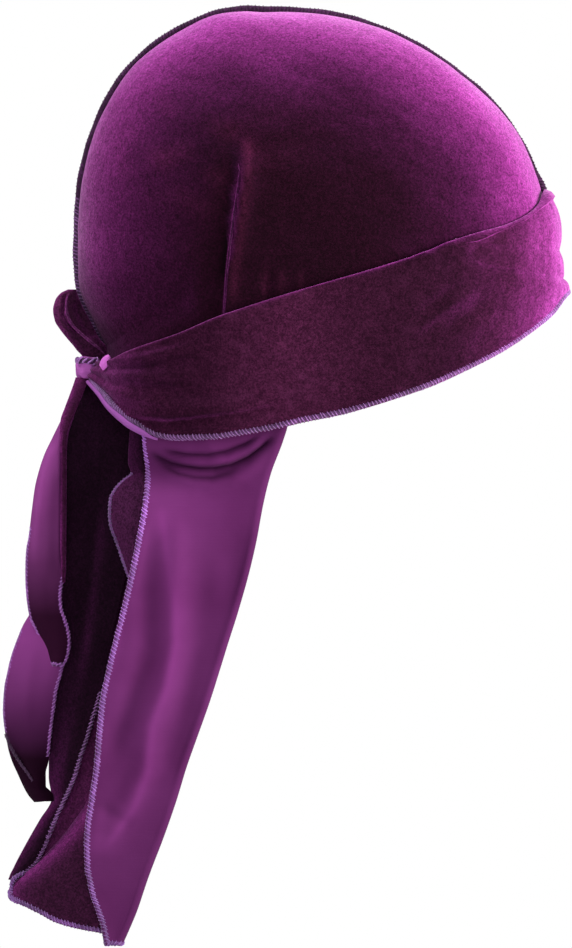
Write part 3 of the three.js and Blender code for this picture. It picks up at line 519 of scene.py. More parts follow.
# the flap's satin: darker towards its bottom, in the shadow under the band and towards its front edge: painted shade
FLAP_PAINTED_SHADE_Z = [(0.0, 0.52), (0.12, 0.54), (0.23, 0.60), (0.34, 0.68), (0.50, 0.80), (0.62, 0.84), (0.72, 0.86), (0.79, 1.0), (0.85, 1.0), (0.885, 0.95), (0.93, 0.88), (1.0, 0.80)]
SATIN = satin("satin_plum", (0.099, 0.0150, 0.090), (0.134, 0.0235, 0.125), painted_light_map=True, painted_shades=[("Z", -0.390, -0.160, FLAP_PAINTED_SHADE_Z), ("X", -0.085, 0.0, [(0.0, 1.0), (0.5, 1.0), (0.75, 0.86), (1.0, 0.70)])])
# a lighter copy of the satin for the tail facing the light, painted light, running into painted shade towards its lower
# end
SATIN_TAIL = satin("satin_tail", (0.172, 0.0320, 0.154), (0.220, 0.046, 0.202), painted_light_map=True, dim=("Z", -0.205, -0.252, (0.021, 0.0036, 0.0150)), lustre=0.4)
# a lighter copy of the satin for the lobe, painted light; towards its tip it runs dark, partly painted shade and partly
# the dark velvet that shows there
SATIN_LOBE = satin("satin_lobe", (0.172, 0.0310, 0.160), (0.222, 0.042, 0.208), dim=("Z", -0.262, -0.312, (0.010, 0.0020, 0.0072)), lustre=0.4)
# a lighter copy of the satin for the knot face: painted light
SATIN_KNOT_PAINTED_LIGHT = satin("satin_knot_painted_light", (0.38, 0.095, 0.38), (0.47, 0.130, 0.47))
SATIN_EDGE = satin("satin_edge", (0.22, 0.060, 0.25), (0.29, 0.085, 0.33), lustre=0.6)
SATIN_PINK = satin("satin_pink", (0.56, 0.130, 0.54), (0.66, 0.17, 0.64))
THREAD = yarn("thread_violet", (0.20, 0.060, 0.25), (0.40, 0.150, 0.50))
# flap hem threads: darker towards the flap's bottom, painted shade
THREAD_FLAP = yarn("thread_flap", (0.34, 0.104, 0.53), (0.66, 0.250, 0.97), painted_light_and_shade=("Z", -0.392, -0.165, [(0.0, 0.36), (0.30, 0.42), (0.60, 0.54), (0.74, 0.62), (0.84, 0.70), (0.90, 0.90), (0.95, 1.0), (1.0, 1.0)]))
THREAD_FLAP_ROLL = yarn("thread_flap_roll", (0.185, 0.046, 0.250), (0.35, 0.105, 0.46), 0.8, painted_light_and_shade=("Z", -0.392, -0.165, [(0.0, 0.42), (0.30, 0.48), (0.60, 0.60), (0.74, 0.62), (0.84, 0.64), (0.90, 0.85), (0.95, 1.0), (1.0, 1.0)]))
THREAD_TAIL = yarn("thread_tail", (0.260, 0.075, 0.340), (0.500, 0.175, 0.620))
THREAD_TAIL_ROLL = yarn("thread_tail_roll", (0.125, 0.031, 0.160), (0.235, 0.070, 0.290), 0.8)
THREAD_DARK = yarn("thread_roll", (0.130, 0.036, 0.160), (0.24, 0.080, 0.30), 0.8)
# band hem threads: brighter on the band's front stretch, painted light, darker at its back, painted shade
THREAD_BAND = yarn("thread_band", (0.200, 0.062, 0.250), (0.51, 0.200, 0.63), painted_light_and_shade=("X", -0.085, 0.125, [(0.0, 0.62), (0.70, 0.60), (0.82, 1.0), (1.0, 1.0)]))
THREAD_BAND_ROLL = yarn("thread_band_roll", (0.110, 0.028, 0.125), (0.210, 0.064, 0.250), 0.8, painted_light_and_shade=("X", -0.085, 0.125, [(0.0, 0.5), (0.70, 0.5), (0.82, 1.0), (1.0, 1.0)]))
THREAD_SHADE = yarn("thread_shade", (0.082, 0.036, 0.112), (0.160, 0.082, 0.210), 0.8, 0.0)
# a darker copy of the tail thread for the stitched line across the lobe's shaded tip: painted shade
THREAD_FAINT_PAINTED_SHADE = yarn("thread_faint_painted_shade", (0.034, 0.012, 0.036), (0.070, 0.026, 0.074), 0.8, 0.0)
THREAD_SEAM = yarn("thread_seam", (0.020, 0.0026, 0.020), (0.066, 0.0110, 0.070), 0.8, 0.0)
# a lighter copy of the seam thread for its lower back stretch: painted light
THREAD_LOW_PAINTED_LIGHT = yarn("thread_seam_low", (0.100, 0.030, 0.120), (0.270, 0.115, 0.330), 0.7, 0.0)
THREAD_LOW_ROLL_PAINTED_LIGHT = yarn("thread_seam_low_roll", (0.040, 0.012, 0.046), (0.090, 0.030, 0.100), 0.8, 0.0)


# ---- mesh makers ------------------------------------------------------------------
def new_mesh(name, verts, faces, mats, face_mats=None):
    me = bpy.data.meshes.new(name)
    verts = np.asarray(verts, float) / 1000.0
    faces = np.asarray(faces)
    me.from_pydata(verts.tolist(), [], faces.tolist())
    for m in mats:
        me.materials.append(m)
    if face_mats is not None:
        me.polygons.foreach_set("material_index", np.asarray(face_mats, np.int32))
    me.polygons.foreach_set("use_smooth", np.ones(len(me.polygons), bool))
    me.update()
    ob = bpy.data.objects.new(name, me)
    bpy.context.scene.collection.objects.link(ob)
    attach(ob, "root")
    return ob


def grid_normals(g):
    du = np.gradient(g, axis=0)
    dv = np.gradient(g, axis=1)
    n = np.cross(du, dv)
    return n / np.maximum(np.linalg.norm(n, axis=-1, keepdims=True), 1e-9)


def wall(name, front, back, mat_front, mat_back):
    """Closed wall between two grids. The faces of front point away from back."""
    r, c = front.shape[:2]
    verts = np.concatenate([front.reshape(-1, 3), back.reshape(-1, 3)])
    idx = np.arange(r * c).reshape(r, c)
    a, b, cc, d = idx[:-1, :-1], idx[:-1, 1:], idx[1:, 1:], idx[1:, :-1]
    f1 = np.stack([a, b, cc, d], -1).reshape(-1, 4)
    n = np.cross(front[1, 0] - front[0, 0], front[0, 1] - front[0, 0])
    o = r * c
    f2 = f1[:, ::-1] + o
    edges = []
    for line in (idx[:, 0][::-1], idx[:, -1], idx[0, :], idx[-1, :][::-1]):
        p, q = line[:-1], line[1:]
        edges.append(np.stack([p, p + o, q + o, q], -1))
    f3 = np.concatenate(edges)
    faces = np.concatenate([f1, f2, f3])
    # face direction: the first grid's faces point away from the second
    mid = (r // 2, c // 2)
    e1 = front[mid[0], mid[1] + 1] - front[mid]
    e2 = front[mid[0] + 1, mid[1]] - front[mid]
    if np.dot(np.cross(e1, e2), front[mid] - back[mid]) < 0:
        faces = faces[:, ::-1]
    mats = np.concatenate([np.zeros(len(f1)), np.ones(len(f2)), np.zeros(len(f3))])
    return new_mesh(name, verts, faces, [mat_front, mat_back], mats)


def sheet(name, mid, thick, mat_pos, mat_neg):
    n = grid_normals(mid)
    return wall(name, mid + n * thick / 2, mid - n * thick / 2, mat_pos, mat_neg)


def resample(p, step):
    seg = np.linalg.norm(np.diff(p, axis=0), axis=1)
    cum = np.concatenate([[0], np.cumsum(seg)])
    n = max(2, int(cum[-1] / step) + 1)
    s = np.linspace(0, cum[-1], n)
    return np.stack([np.interp(s, cum, p[:, k]) for k in range(3)], -1), cum, s


def overlock(name, edge, inward, normal, width=2.3, thick=1.7, lift=0.0, roll=None, yarn_mat=None, radius=0.24, slant=0.55, inset=None, pitch=STITCH):
    """A serged edge: a flat roll along the edge of the cloth with slanting thread wraps over it."""
    roll = roll or THREAD_DARK
    yarn_mat = yarn_mat or THREAD
    pts, cum, s = resample(edge, 0.6)
    iw = np.stack([np.interp(s, cum, inward[:, k]) for k in range(3)], -1)
    nn = np.stack([np.interp(s, cum, normal[:, k]) for k in range(3)], -1)
    iw /= np.linalg.norm(iw, axis=1, keepdims=True)
    nn -= iw * np.sum(nn * iw, axis=1, keepdims=True)
    nn /= np.linalg.norm(nn, axis=1, keepdims=True)
    shift = np.interp(s, cum, inset)[:, None] if inset is not None else 0.0
    centre = pts + iw * (width / 2 - 0.1 + shift) + nn * lift
    K = 8
    th = np.arange(K) / K * TAU
    ring = centre[:, None] + iw[:, None] * (np.cos(th) * width / 2)[None, :, None] + nn[:, None] * (np.sin(th) * thick / 2)[None, :, None]
    M = len(pts)
    verts = [ring.reshape(-1, 3)]
    i = np.arange(M - 1)[:, None] * K
    j = np.arange(K)[None]
    f = np.stack([i + j, i + (j + 1) % K, i + K + (j + 1) % K, i + K + j], -1).reshape(-1, 4)
    faces = [f]
    base = M * K
    caps = []
    for start in (0, (M - 1) * K):
        c = centre[0] if start == 0 else centre[-1]
        verts.append(c[None])
        for k in range(K):
            q = [start + k, start + (k + 1) % K, base, base]
            caps.append(q if start else q[::-1])
        base += 1
    roll_faces = f
    mats = [np.zeros(len(f))]
    tri = [[q[0], q[1], q[2]] if q[2] == q[3] else [q[0], q[2], q[3]] if q[0] == q[1] else [q[1], q[2], q[3]] for q in caps]
    # wraps
    total = s[-1]
    n = max(1, int(total / pitch))
    A, T = 11, 4
    at = (np.arange(n) + 0.5) * total / n
    rng = np.random.default_rng(len(name) * 7 + n)
    jit = rng.uniform(-0.26, 0.26, n)
    lean = rng.uniform(0.75, 1.3, (n, 1))
    reach = rng.uniform(-0.10, 0.16, (n, 1, 1))
    th = np.arange(A) / A * TAU
    ph = np.arange(T) / T * TAU
    pos = at[:, None] + jit[:, None] + slant * pitch * lean * np.cos(th)[None]
    pos = np.clip(pos, 0, total)
    def pick(arr):
        return np.stack([np.interp(pos, s, arr[:, k]) for k in range(3)], -1)
    C, I, W = pick(centre), pick(iw), pick(nn)
    ca, sa = np.cos(th)[None, :, None], np.sin(th)[None, :, None]
    loop = C + I * ca * (width / 2 + 0.10 + reach) + W * sa * (thick / 2 + 0.16)
    tang = np.roll(loop, -1, axis=1) - np.roll(loop, 1, axis=1)
    tang /= np.maximum(np.linalg.norm(tang, axis=-1, keepdims=True), 1e-9)
    outv = I * ca * thick + W * sa * width
    outv -= tang * np.sum(outv * tang, axis=-1, keepdims=True)
    outv /= np.maximum(np.linalg.norm(outv, axis=-1, keepdims=True), 1e-9)
    bi = np.cross(tang, outv)
    tube = loop[:, :, None] + radius * (outv[:, :, None] * np.cos(ph)[None, None, :, None] + bi[:, :, None] * np.sin(ph)[None, None, :, None])
    verts.append(tube.reshape(-1, 3))
    w = np.arange(n)[:, None, None] * A * T
    a = np.arange(A)[None, :, None]
    t = np.arange(T)[None, None, :]
    fw = np.stack([base + w + a * T + t, base + w + a * T + (t + 1) % T, base + w + ((a + 1) % A) * T + (t + 1) % T, base + w + ((a + 1) % A) * T + t], -1).reshape(-1, 4)
    all_faces = f.tolist() + tri + fw.tolist()
    fm = [0] * (len(f) + len(tri)) + [1] * len(fw)
    me = bpy.data.meshes.new(name)
    me.from_pydata((np.concatenate(verts) / 1000).tolist(), [], all_faces)
    me.materials.append(roll)
    me.materials.append(yarn_mat)
    me.polygons.foreach_set("material_index", np.asarray(fm, np.int32))
    me.polygons.foreach_set("use_smooth", np.ones(len(me.polygons), bool))
    me.update()
    import bmesh
    bm = bmesh.new()
    bm.from_mesh(me)
    bmesh.ops.recalc_face_normals(bm, faces=bm.faces)
    bm.to_mesh(me)
    bm.free()
    ob = bpy.data.objects.new(name, me)
    bpy.context.scene.collection.objects.link(ob)
    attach(ob, "root")
    return ob


def roll_line(name, pts, out, wide, high, mat, ends=4.0):
    """A slim rolled fold along a line, rounded off at both ends."""
    q, cum, s = resample(np.asarray(pts, float), 0.5)
    o = np.stack([np.interp(s, cum, np.asarray(out, float)[:, k]) for k in range(3)], -1)
    tan = np.gradient(q, axis=0)
    tan /= np.linalg.norm(tan, axis=1, keepdims=True)
    o -= tan * np.sum(o * tan, axis=1, keepdims=True)
    o /= np.linalg.norm(o, axis=1, keepdims=True)
    side = np.cross(tan, o)
    size = np.sqrt(np.clip(np.minimum(s, s[-1] - s) / ends, 0.01, 1))
    K = 12
    th = np.arange(K) / K * TAU
    ring = q[:, None] + side[:, None] * (np.cos(th) * wide)[None, :, None] * size[:, None, None] + o[:, None] * (np.sin(th) * high)[None, :, None] * size[:, None, None]
    idx = np.arange(len(q) * K).reshape(len(q), K)
    nx = np.roll(idx, -1, axis=1)
    f = np.stack([idx[:-1], nx[:-1], nx[1:], idx[1:]], -1).reshape(-1, 4).tolist()
    f.append(idx[0][::-1].tolist())
    f.append(idx[-1].tolist())
    me = bpy.data.meshes.new(name)
    me.from_pydata((ring.reshape(-1, 3) / 1000).tolist(), [], f)
    me.materials.append(mat)
    me.polygons.foreach_set("use_smooth", np.ones(len(me.polygons), bool))
    me.update()
    import bmesh
    bm = bmesh.new()
    bm.from_mesh(me)
    bmesh.ops.recalc_face_normals(bm, faces=bm.faces)
    bm.to_mesh(me)
    bm.free()
    ob = bpy.data.objects.new(name, me)
    bpy.context.scene.collection.objects.link(ob)
    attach(ob, "root")
    return ob


def near_form(px, lift):
    """Points on the near side of the head form, raised by lift, from places on the side-view grid."""
    px = np.asarray(px, float)
    x, z = (px[:, 0] - GX) * PITCH, (GZ - px[:, 1]) * PITCH
    ratio = np.clip(np.hypot(x - CX, z - CZ) / head_radius(x - CX, z - CZ), 0, 0.9999)
    p = np.stack([x, -HALF_WIDTH * (1 - ratio ** POWER) ** (1 / POWER), z], -1)
    n = form_normal(p)
    return p + n * lift, n


def edge_frames(grid, which, face_sign=1.0):
    """Edge points, inward directions and face normals of one border of a grid."""
    n = grid_normals(grid) * face_sign
    if which == "j0":
        return grid[:, 0], grid[:, 1] - grid[:, 0], n[:, 0]
    if which == "j1":
        return grid[:, -1], grid[:, -2] - grid[:, -1], n[:, -1]
    if which == "i0":
        return grid[0], grid[1] - grid[0], n[0]
    return grid[-1], grid[-2] - grid[-1], n[-1]


# ---- crown ------------------------------------------------------------------------
rim_line = curve(RIM, "x", "z")
seam_angle = curve(PAIR, "u", "seam")
rim_azimuth = curve(PAIR, "u", "azimuth")

LIP = [(238, 136), (239, 159), (241.5, 174), (238.5, 191), (234.5, 220), (231, 247), (228, 274), (225.5, 307), (223.5, 330)]
LIP2 = [(262, 262), (266, 280), (268, 304), (268, 322)]
LIP3 = [(303, 262), (306, 275), (307, 292), (306, 306)]


def crown_relief(p):
    gx, gy = grid_xy(p)
    press = 1 - smooth(0, 9, gy - band_top_px(gx) + 2)       # pressed flat under the band
    d, s, t = along_line(gx, gy, LIP)
    sd = d * s
    grow = smooth(0.06, 0.26, t)
    lip = smooth(-1.4, 0.9, sd) * np.exp(-np.maximum(sd, 0) / 11.0)
    under = (1 - smooth(-1.4, 0.9, sd)) * np.exp(-np.maximum(-sd, 0) / 5.5)
    h = (1.9 * lip - 1.5 * under) * grow
    # the pucker where the pleat begins, and the soft fold in front of it
    h += crease(gx, gy, [(231, 122), (234, 142), (237, 160)], -0.6, 3.0, 0.4)
    h += crease(gx, gy, [(245, 134), (248, 152), (249, 175), (246, 205), (242, 245), (237, 292)], 1.1, 3.2, 0.4)
    h += crease(gx, gy, LIP2, -0.7, 1.3, 0.35) + crease(gx, gy, LIP3, -0.45, 1.5, 0.4)
    h += crease(gx, gy, [(276, 262), (281, 285), (284, 312)], 0.5, 2.6, 0.4)
    h += crease(gx, gy, [(206, 255), (198, 285), (192, 325)], 0.5, 4.0, 0.4)
    h += 0.22 * ripple(p, 34, 5) + 0.05 * ripple(p, 9, 6)
    return h * press


band_top = curve(BAND_TOP, "x", "z")
band_hem = curve(BAND_BOTTOM, "x", "z")


def band_top_px(gx):
    return GZ - band_top((gx - GX) * PITCH) / PITCH


PLEAT_U = (0.455, 0.515)


def store_nap_and_painted_light(ob, value):
    """Store a value to each vertex: above 0 paler, painted highlight and on the band also brush marks of the pile;
    below 0 deeper, painted shade.
    """
    at = ob.data.attributes.new("nap_and_painted_light", "FLOAT", "POINT")
    at.data.foreach_set("value", np.clip(value, -1, 1).astype(np.float32))


def crown_painted_light(p):
    """Painted highlight beside the pleat and along the small folds above the band, painted shadow left of the pleat's
    lip, and paler patches at random on the upper back, on the near side only.
    """
    gx, gy = grid_xy(p)
    v = crease(gx, gy, [(251, 128), (249, 150), (247, 172), (245, 195), (240, 232), (236, 268), (232, 310)], 0.46, 2.0, 0.16)
    v += crease(gx, gy, [(243, 138), (247, 150), (255, 160)], 0.30, 2.4, 0.4)
    v += crease(gx, gy, [(266, 262), (265, 280), (264, 304)], 0.30, 1.3, 0.4) + crease(gx, gy, [(283, 268), (282, 300)], 0.22, 1.2, 0.4) + crease(gx, gy, [(300, 266), (300, 296)], 0.18, 1.2, 0.4)
    v += crease(gx, gy, [(234, 140), (236, 158), (236.5, 176), (234, 194), (230, 222), (226, 250), (222, 290)], -0.85, 1.3, 0.15)
    v += 0.16 * np.maximum(ripple(p, 16, 9), 0) * np.exp(-((gx - 190) / 75) ** 2 - ((gy - 150) / 60) ** 2)
    return v * (p[..., 1] < 0)


def crown_half(name, side, ncol, nrow):
    a = int(ncol * 0.30)
    b = int(ncol * 0.44)
    us = np.concatenate([np.linspace(0, PLEAT_U[0], a, endpoint=False), np.linspace(*PLEAT_U, b, endpoint=False), np.linspace(PLEAT_U[1], 1, ncol - a - b)])
    sa = np.radians(seam_angle(us))
    top = np.stack([np.cos(sa), 0 * sa, np.sin(sa)], -1)
    low = on_line(np.radians(rim_azimuth(us)), rim_line) - np.array([CX, 0, CZ])
    low /= np.linalg.norm(low, axis=1, keepdims=True)
    ang = np.arccos(np.clip(np.sum(top * low, 1), -1, 1))
    v = np.linspace(0, 1, nrow)
    si = np.sin(ang)[:, None]
    d = (np.sin((1 - v)[None] * ang[:, None]) / si)[..., None] * top[:, None] + (np.sin(v[None] * ang[:, None]) / si)[..., None] * low[:, None]
    p = on_form(d)
    n = form_normal(p)
    h = crown_relief(p)
    # cloth draws down into the seam
    h = h - 0.5 * np.exp(-((v * ang[:, None] * 90) / 2.2) ** 2)

    def lay(height):
        q = p + n * height[..., None]
        y = SEAM_HALF - 0.35 + np.abs(q[..., 1]) * (1 - SEAM_HALF / HALF_WIDTH)
        return np.stack([q[..., 0], side * y, q[..., 2]], -1)

    outer, inner = lay(h), lay(h - WALL)
    ob = wall(name, outer, inner, VELVET, SATIN)
    # painted highlight and shadow beside the pleat, stored on the crown's vertices
    store_nap_and_painted_light(ob, np.tile(crown_painted_light(outer).ravel(), 2))
    return ob


crown_near = crown_half("crown_near", -1, 270, 140)
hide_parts("crown_right")
lip_px = np.array([(239, 166), (240.3, 174), (238.5, 191), (234.5, 220), (231, 247), (228, 274), (225.5, 306), (224.8, 313)])
lip_pts, lip_out = near_form(lip_px, 1.25)
pleat = roll_line("pleat_fold", lip_pts, lip_out, 0.62, 0.62, VELVET_LIP_PAINTED_HIGHLIGHT, 22.0)
crown_far = crown_half("crown_far", 1, 190, 76)
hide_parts("crown_left")

# centre seam: the two raw edges under one row of dark overlock
t = np.linspace(0, 1, 700)
deg = mix(8.0, 217.6, t)
ar = np.radians(deg)
proud = 2.1 * mix(0.45, 1, smooth(35, 95, deg)) * mix(1, 0.85, smooth(185, 209, deg)) * (1 - 0.5 * smooth(211, 217, deg)) + 1.3 * (1 - smooth(9.4, 15.0, deg)) + 0.12 * np.sin(t * 61) + 0.08 * np.sin(t * 143)
rr = head_radius(np.cos(ar), np.sin(ar))
rad = np.stack([np.cos(ar), 0 * ar, np.sin(ar)], -1)
ridge = np.stack([CX + (rr + proud) * np.cos(ar), 0.15 * np.sin(t * 37), CZ + (rr + proud) * np.sin(ar)], -1)
hi, lo = deg <= 172.0, deg >= 171.6
seam = overlock("seam_overlock", ridge[hi], -rad[hi], np.tile([0.0, -1.0, 0.0], (hi.sum(), 1)), width=3.2, thick=1.7, roll=THREAD_SEAM, yarn_mat=THREAD_SEAM, radius=0.25)
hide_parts("centre_seam")
# the lower back stretch of the seam in the lighter thread: painted light
seam_low = overlock("seam_overlock_low", ridge[lo], -rad[lo], np.tile([0.0, -1.0, 0.0], (lo.sum(), 1)), width=3.2, thick=1.7, roll=THREAD_LOW_ROLL_PAINTED_LIGHT, yarn_mat=THREAD_LOW_PAINTED_LIGHT, radius=0.25)

# ---- band -------------------------------------------------------------------------
def band_relief(p, az, w):
    """Folds of the doubled strap, on the near side as drawn and on the far side mirrored."""
    gx, gy = grid_xy(p)
    near = np.abs(az) < math.radians(176)
    h = np.zeros(gx.shape)
    # lower crease above the hem at the back
    h += crease(gx, gy, [(119, 408), (132, 418), (171, 421.5), (202, 418), (247, 412), (300, 400)], -1.1, 1.1, 0.25)
    h += crease(gx, gy, [(125, 410), (150, 414), (190, 414), (240, 406)], 0.8, 2.4, 0.3)
    # soft diagonal wrinkles in the middle
    h += crease(gx, gy, [(482, 286), (452, 301), (424, 320), (392, 346)], 0.75, 2.6, 0.35)
    h += crease(gx, gy, [(470, 281), (440, 296), (408, 320)], -0.6, 2.2, 0.4)
    h += crease(gx, gy, [(492, 296), (462, 314), (432, 338)], -0.55, 2.6, 0.4)
    h += crease(gx, gy, [(505, 298), (482, 318), (455, 344)], 0.40, 3.2, 0.4)
    h += crease(gx, gy, [(372, 290), (352, 322), (336, 360)], 0.35, 4.0, 0.4)
    # lines fanning from the knot
    for pts, hh, ww in (
        ([(104, 366), (150, 358), (205, 343)], 0.7, 1.6), ([(104, 371), (155, 368), (215, 358)], -0.6, 1.5),
        ([(104, 375), (155, 377), (214, 374)], 0.7, 1.8), ([(103, 379), (146, 388), (196, 391)], -0.6, 1.6),
        ([(103, 383), (140, 398), (182, 404)], 0.7, 1.6), ([(110, 362), (160, 350), (235, 326)], -0.35, 1.4),
        ([(103, 388), (125, 404), (150, 412)], -0.5, 1.3)):
        h += crease(gx, gy, pts, hh, ww, 0.3)
    # second layer of the strap showing below the upper fold toward the front
    h += layer_step(gx, gy, [(452, 249), (474, 240.5), (492, 233.5), (518, 222.5), (545, 203)], 1.15, 20, 0.25, 0.35, 0.45, 3.0)
    h += crease(gx, gy, [(500, 236), (480, 246), (460, 258)], -0.7, 1.5, 0.35)
    h += crease(gx, gy, [(566, 262), (560, 276), (551, 290)], -0.9, 1.6, 0.35)
    # forehead: soft vertical buckles
    front = np.exp(-(np.degrees(az) / 26) ** 2)
    h += front * (0.55 * np.sin(np.degrees(np.abs(az)) * 0.23 + 6.5 * w + 0.4) * np.sin(math.pi * w))
    h += 0.30 * ripple(p, 30, 15) + 0.07 * ripple(p, 8, 16)
    # gathers close to the knot
    close = smooth(140, 100, gx)
    h += close * 0.55 * np.sin(w * TAU * 3.2 + 0.6)
    return h * smooth(0, 0.05, w)


def band_nap_and_painted_light(p):
    """Brush marks of the strap: dusty lights at its back and long soft strokes toward the front; with them painted
    highlight along the diagonal wrinkle and painted shade in the creases and next to the knot.
    """
    gx, gy = grid_xy(p)
    v = crease(gx, gy, [(150, 398), (185, 404), (225, 401), (262, 392)], 0.24, 2.4, 0.3)
    v += crease(gx, gy, [(196, 384), (225, 381), (252, 372)], 0.12, 2.6, 0.35)
    v += crease(gx, gy, [(270, 398), (300, 392), (330, 382)], 0.10, 2.6, 0.35)
    # painted highlight along the diagonal wrinkle
    v += crease(gx, gy, [(482, 284), (452, 299), (424, 318), (392, 344)], 0.36, 1.7, 0.3)
    v += crease(gx, gy, [(420, 276), (452, 268), (486, 252)], 0.10, 2.8, 0.35)
    v += crease(gx, gy, [(268, 300), (290, 296), (318, 290)], 0.10, 2.6, 0.35)
    # painted shade in the crease above the hem, in the folds fanning from the knot and on the dark side of the wrinkle
    v += crease(gx, gy, [(130, 415.5), (171, 419), (202, 415.5), (247, 409.5)], -0.45, 1.0, 0.25)
    v += crease(gx, gy, [(112, 372), (160, 364), (215, 352)], -0.35, 1.4, 0.35) + crease(gx, gy, [(112, 380), (150, 384), (200, 384)], -0.35, 1.3, 0.35)
    v += crease(gx, gy, [(472, 292), (440, 308), (404, 334)], -0.42, 1.8, 0.35)
    v += 0.09 * np.maximum(ripple(p, 7, 19), 0) * smooth(0.2, 1.4, ripple(p, 36, 20) + 0.6)
    # painted shade next to the knot
    v -= 0.45 * np.exp(-((gx - 128) / 26) ** 2 - ((gy - 366) / 14) ** 2)
    return v * (p[..., 1] < 0)


BAND_END = math.radians(172.6)


def band_mesh():
    na, nw = 560, 62
    tt = np.linspace(-1, 1, na)
    a = np.abs(tt)
    az = np.sign(tt) * BAND_END * (0.72 * a + 0.28 * a * a * (3 - 2 * a))
    w = np.concatenate([np.linspace(0, 0.06, 10, endpoint=False), np.linspace(0.06, 1, nw - 10)])
    AZ, W = np.meshgrid(az, w, indexing="ij")
    base = np.empty(AZ.shape + (3,))
    back = 5.8 * smooth(math.radians(140), BAND_END, np.abs(az))
    for j, wj in enumerate(w):
        base[:, j] = on_line(az, lambda x: mix(band_top(x - back), band_hem(x - back), wj))
    n = form_normal(base)
    front = np.exp(-(np.degrees(AZ) / 34) ** 2)
    low = mix(1.9, 1.45, front)
    round_edge = np.sqrt(np.clip(1 - (1 - np.minimum(W / mix(0.045, 0.15, front), 1)) ** 2, 0, 1))
    out = low + (3.65 - low) * round_edge + 0.2 * np.exp(-((W - 0.05) / 0.05) ** 2) * (1 - front)
    out = out + 2.6 * smooth(math.radians(158), BAND_END, np.abs(AZ)) * smooth(-0.2, 0.7, W)
    out = out + band_relief(base, AZ, W)
    outer = base + n * out[..., None]
    inner = base + n * 1.25
    return outer, inner, n, az, w


b_out, b_in, b_n, b_az, b_w = band_mesh()
band = wall("band_strap", b_out, b_in, VELVET_BAND, SATIN)
store_nap_and_painted_light(band, np.tile(band_nap_and_painted_light(b_out).ravel(), 2))
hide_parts("band")
# hem of the band, all the way round; at the lower back it turns out and shows its wrong side
hem_pts = (b_out[:, -1] * 0.62 + b_in[:, -1] * 0.38)
hem_in = b_out[:, -4] - b_out[:, -1]
hem_in /= np.linalg.norm(hem_in, axis=1, keepdims=True)
hgx, hgy = grid_xy(hem_pts)
turn = 2.0 * smooth(90, 128, hgx) * (1 - smooth(139, 162, hgx)) * (b_az > 0)
hem = overlock("band_hem", hem_pts, hem_in, b_n[:, -1], width=2.5, thick=3.0, lift=0.0, inset=turn, roll=THREAD_BAND_ROLL, yarn_mat=THREAD_BAND, radius=0.22)
sel = np.nonzero((hgx < 161) & (b_az > 0))[0]
cross = np.linspace(0, 1, 9)
curl = np.sin(cross * math.pi) * 0.5 + 0.25
lip_w = ((turn[sel] + 0.8) * (1 - smooth(147, 160, hgx[sel])) + 0.05)[:, None, None]
lip_mid = hem_pts[sel][:, None] + hem_in[sel][:, None] * (cross[None, :, None] * lip_w - 0.35) + b_n[sel, -1][:, None] * (1.35 + curl)[None, :, None]
lip = sheet("band_turnout", lip_mid, 0.9, SATIN_EDGE, SATIN_EDGE)

# ---- knot and half bow --------------------------------------------------------------
def superblob(name, c, h, power, mat, relief=None, nu=96, nv=60):
    u = np.linspace(0, TAU, nu, endpoint=False)
    v = np.linspace(-math.pi / 2, math.pi / 2, nv)
    U, V = np.meshgrid(u, v, indexing="ij")
    q = lambda t: np.sign(t) * np.abs(t) ** power
    d = np.stack([q(np.cos(V) * np.cos(U)), q(np.cos(V) * np.sin(U)), q(np.sin(V))], -1)
    if relief is not None:
        d = d * (1 + relief(d))[..., None]
    p = np.array(c) + d * np.array(h)
    verts = [p[:, 1:-1].reshape(-1, 3), p[0, 0][None], p[0, -1][None]]
    m = nv - 2
    idx = np.arange(nu * m).reshape(nu, m)
    nx = np.roll(idx, -1, axis=0)
    f = np.stack([idx[:, :-1], nx[:, :-1], nx[:, 1:], idx[:, 1:]], -1).reshape(-1, 4).tolist()
    s, n_ = nu * m, nu * m + 1
    f += [[int(idx[i, 0]), s, int(nx[i, 0])] for i in range(nu)]
    f += [[int(idx[i, -1]), int(nx[i, -1]), n_] for i in range(nu)]
    me = bpy.data.meshes.new(name)
    me.from_pydata((np.concatenate(verts) / 1000).tolist(), [], f)
    me.materials.append(mat)
    me.polygons.foreach_set("use_smooth", np.ones(len(me.polygons), bool))
    me.update()
    ob = bpy.data.objects.new(name, me)
    bpy.context.scene.collection.objects.link(ob)
    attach(ob, "root")
    return ob


def knot_relief(d):
    folds = 0.05 * np.sin(d[..., 1] * 9 + d[..., 2] * 1.6) + 0.035 * np.sin(d[..., 1] * 17 - d[..., 2] * 2.5 + 1.0)
    return folds + 0.03 * np.sin(d[..., 0] * 6 + d[..., 2] * 4)


knot = superblob("knot_wrap", (-78.4, 0, -148.2), (5.15, 12.3, 5.1), 0.62, SATIN_KNOT_PAINTED_LIGHT, knot_relief)
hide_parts("knot")
# overlocked upper edge of the wrap, round its back
ka = np.linspace(math.radians(-38), math.radians(218), 160)
kq = lambda v: np.sign(v) * np.abs(v) ** 0.62
k_edge = np.stack([-78.2 - 4.5 * kq(np.sin(ka)), -12.0 * kq(np.cos(ka)), -144.0 + 0.25 * np.sin(ka * 5)], -1)
k_out = np.stack([-np.sin(ka) / 4, -np.cos(ka) / 12, 0 * ka], -1)
k_hem = overlock("knot_hem", k_edge, np.tile([0.0, 0.0, -1.0], (160, 1)), k_out, width=2.2, thick=1.3, lift=0.2, radius=0.40, pitch=2.1, roll=THREAD_SEAM, yarn_mat=THREAD)
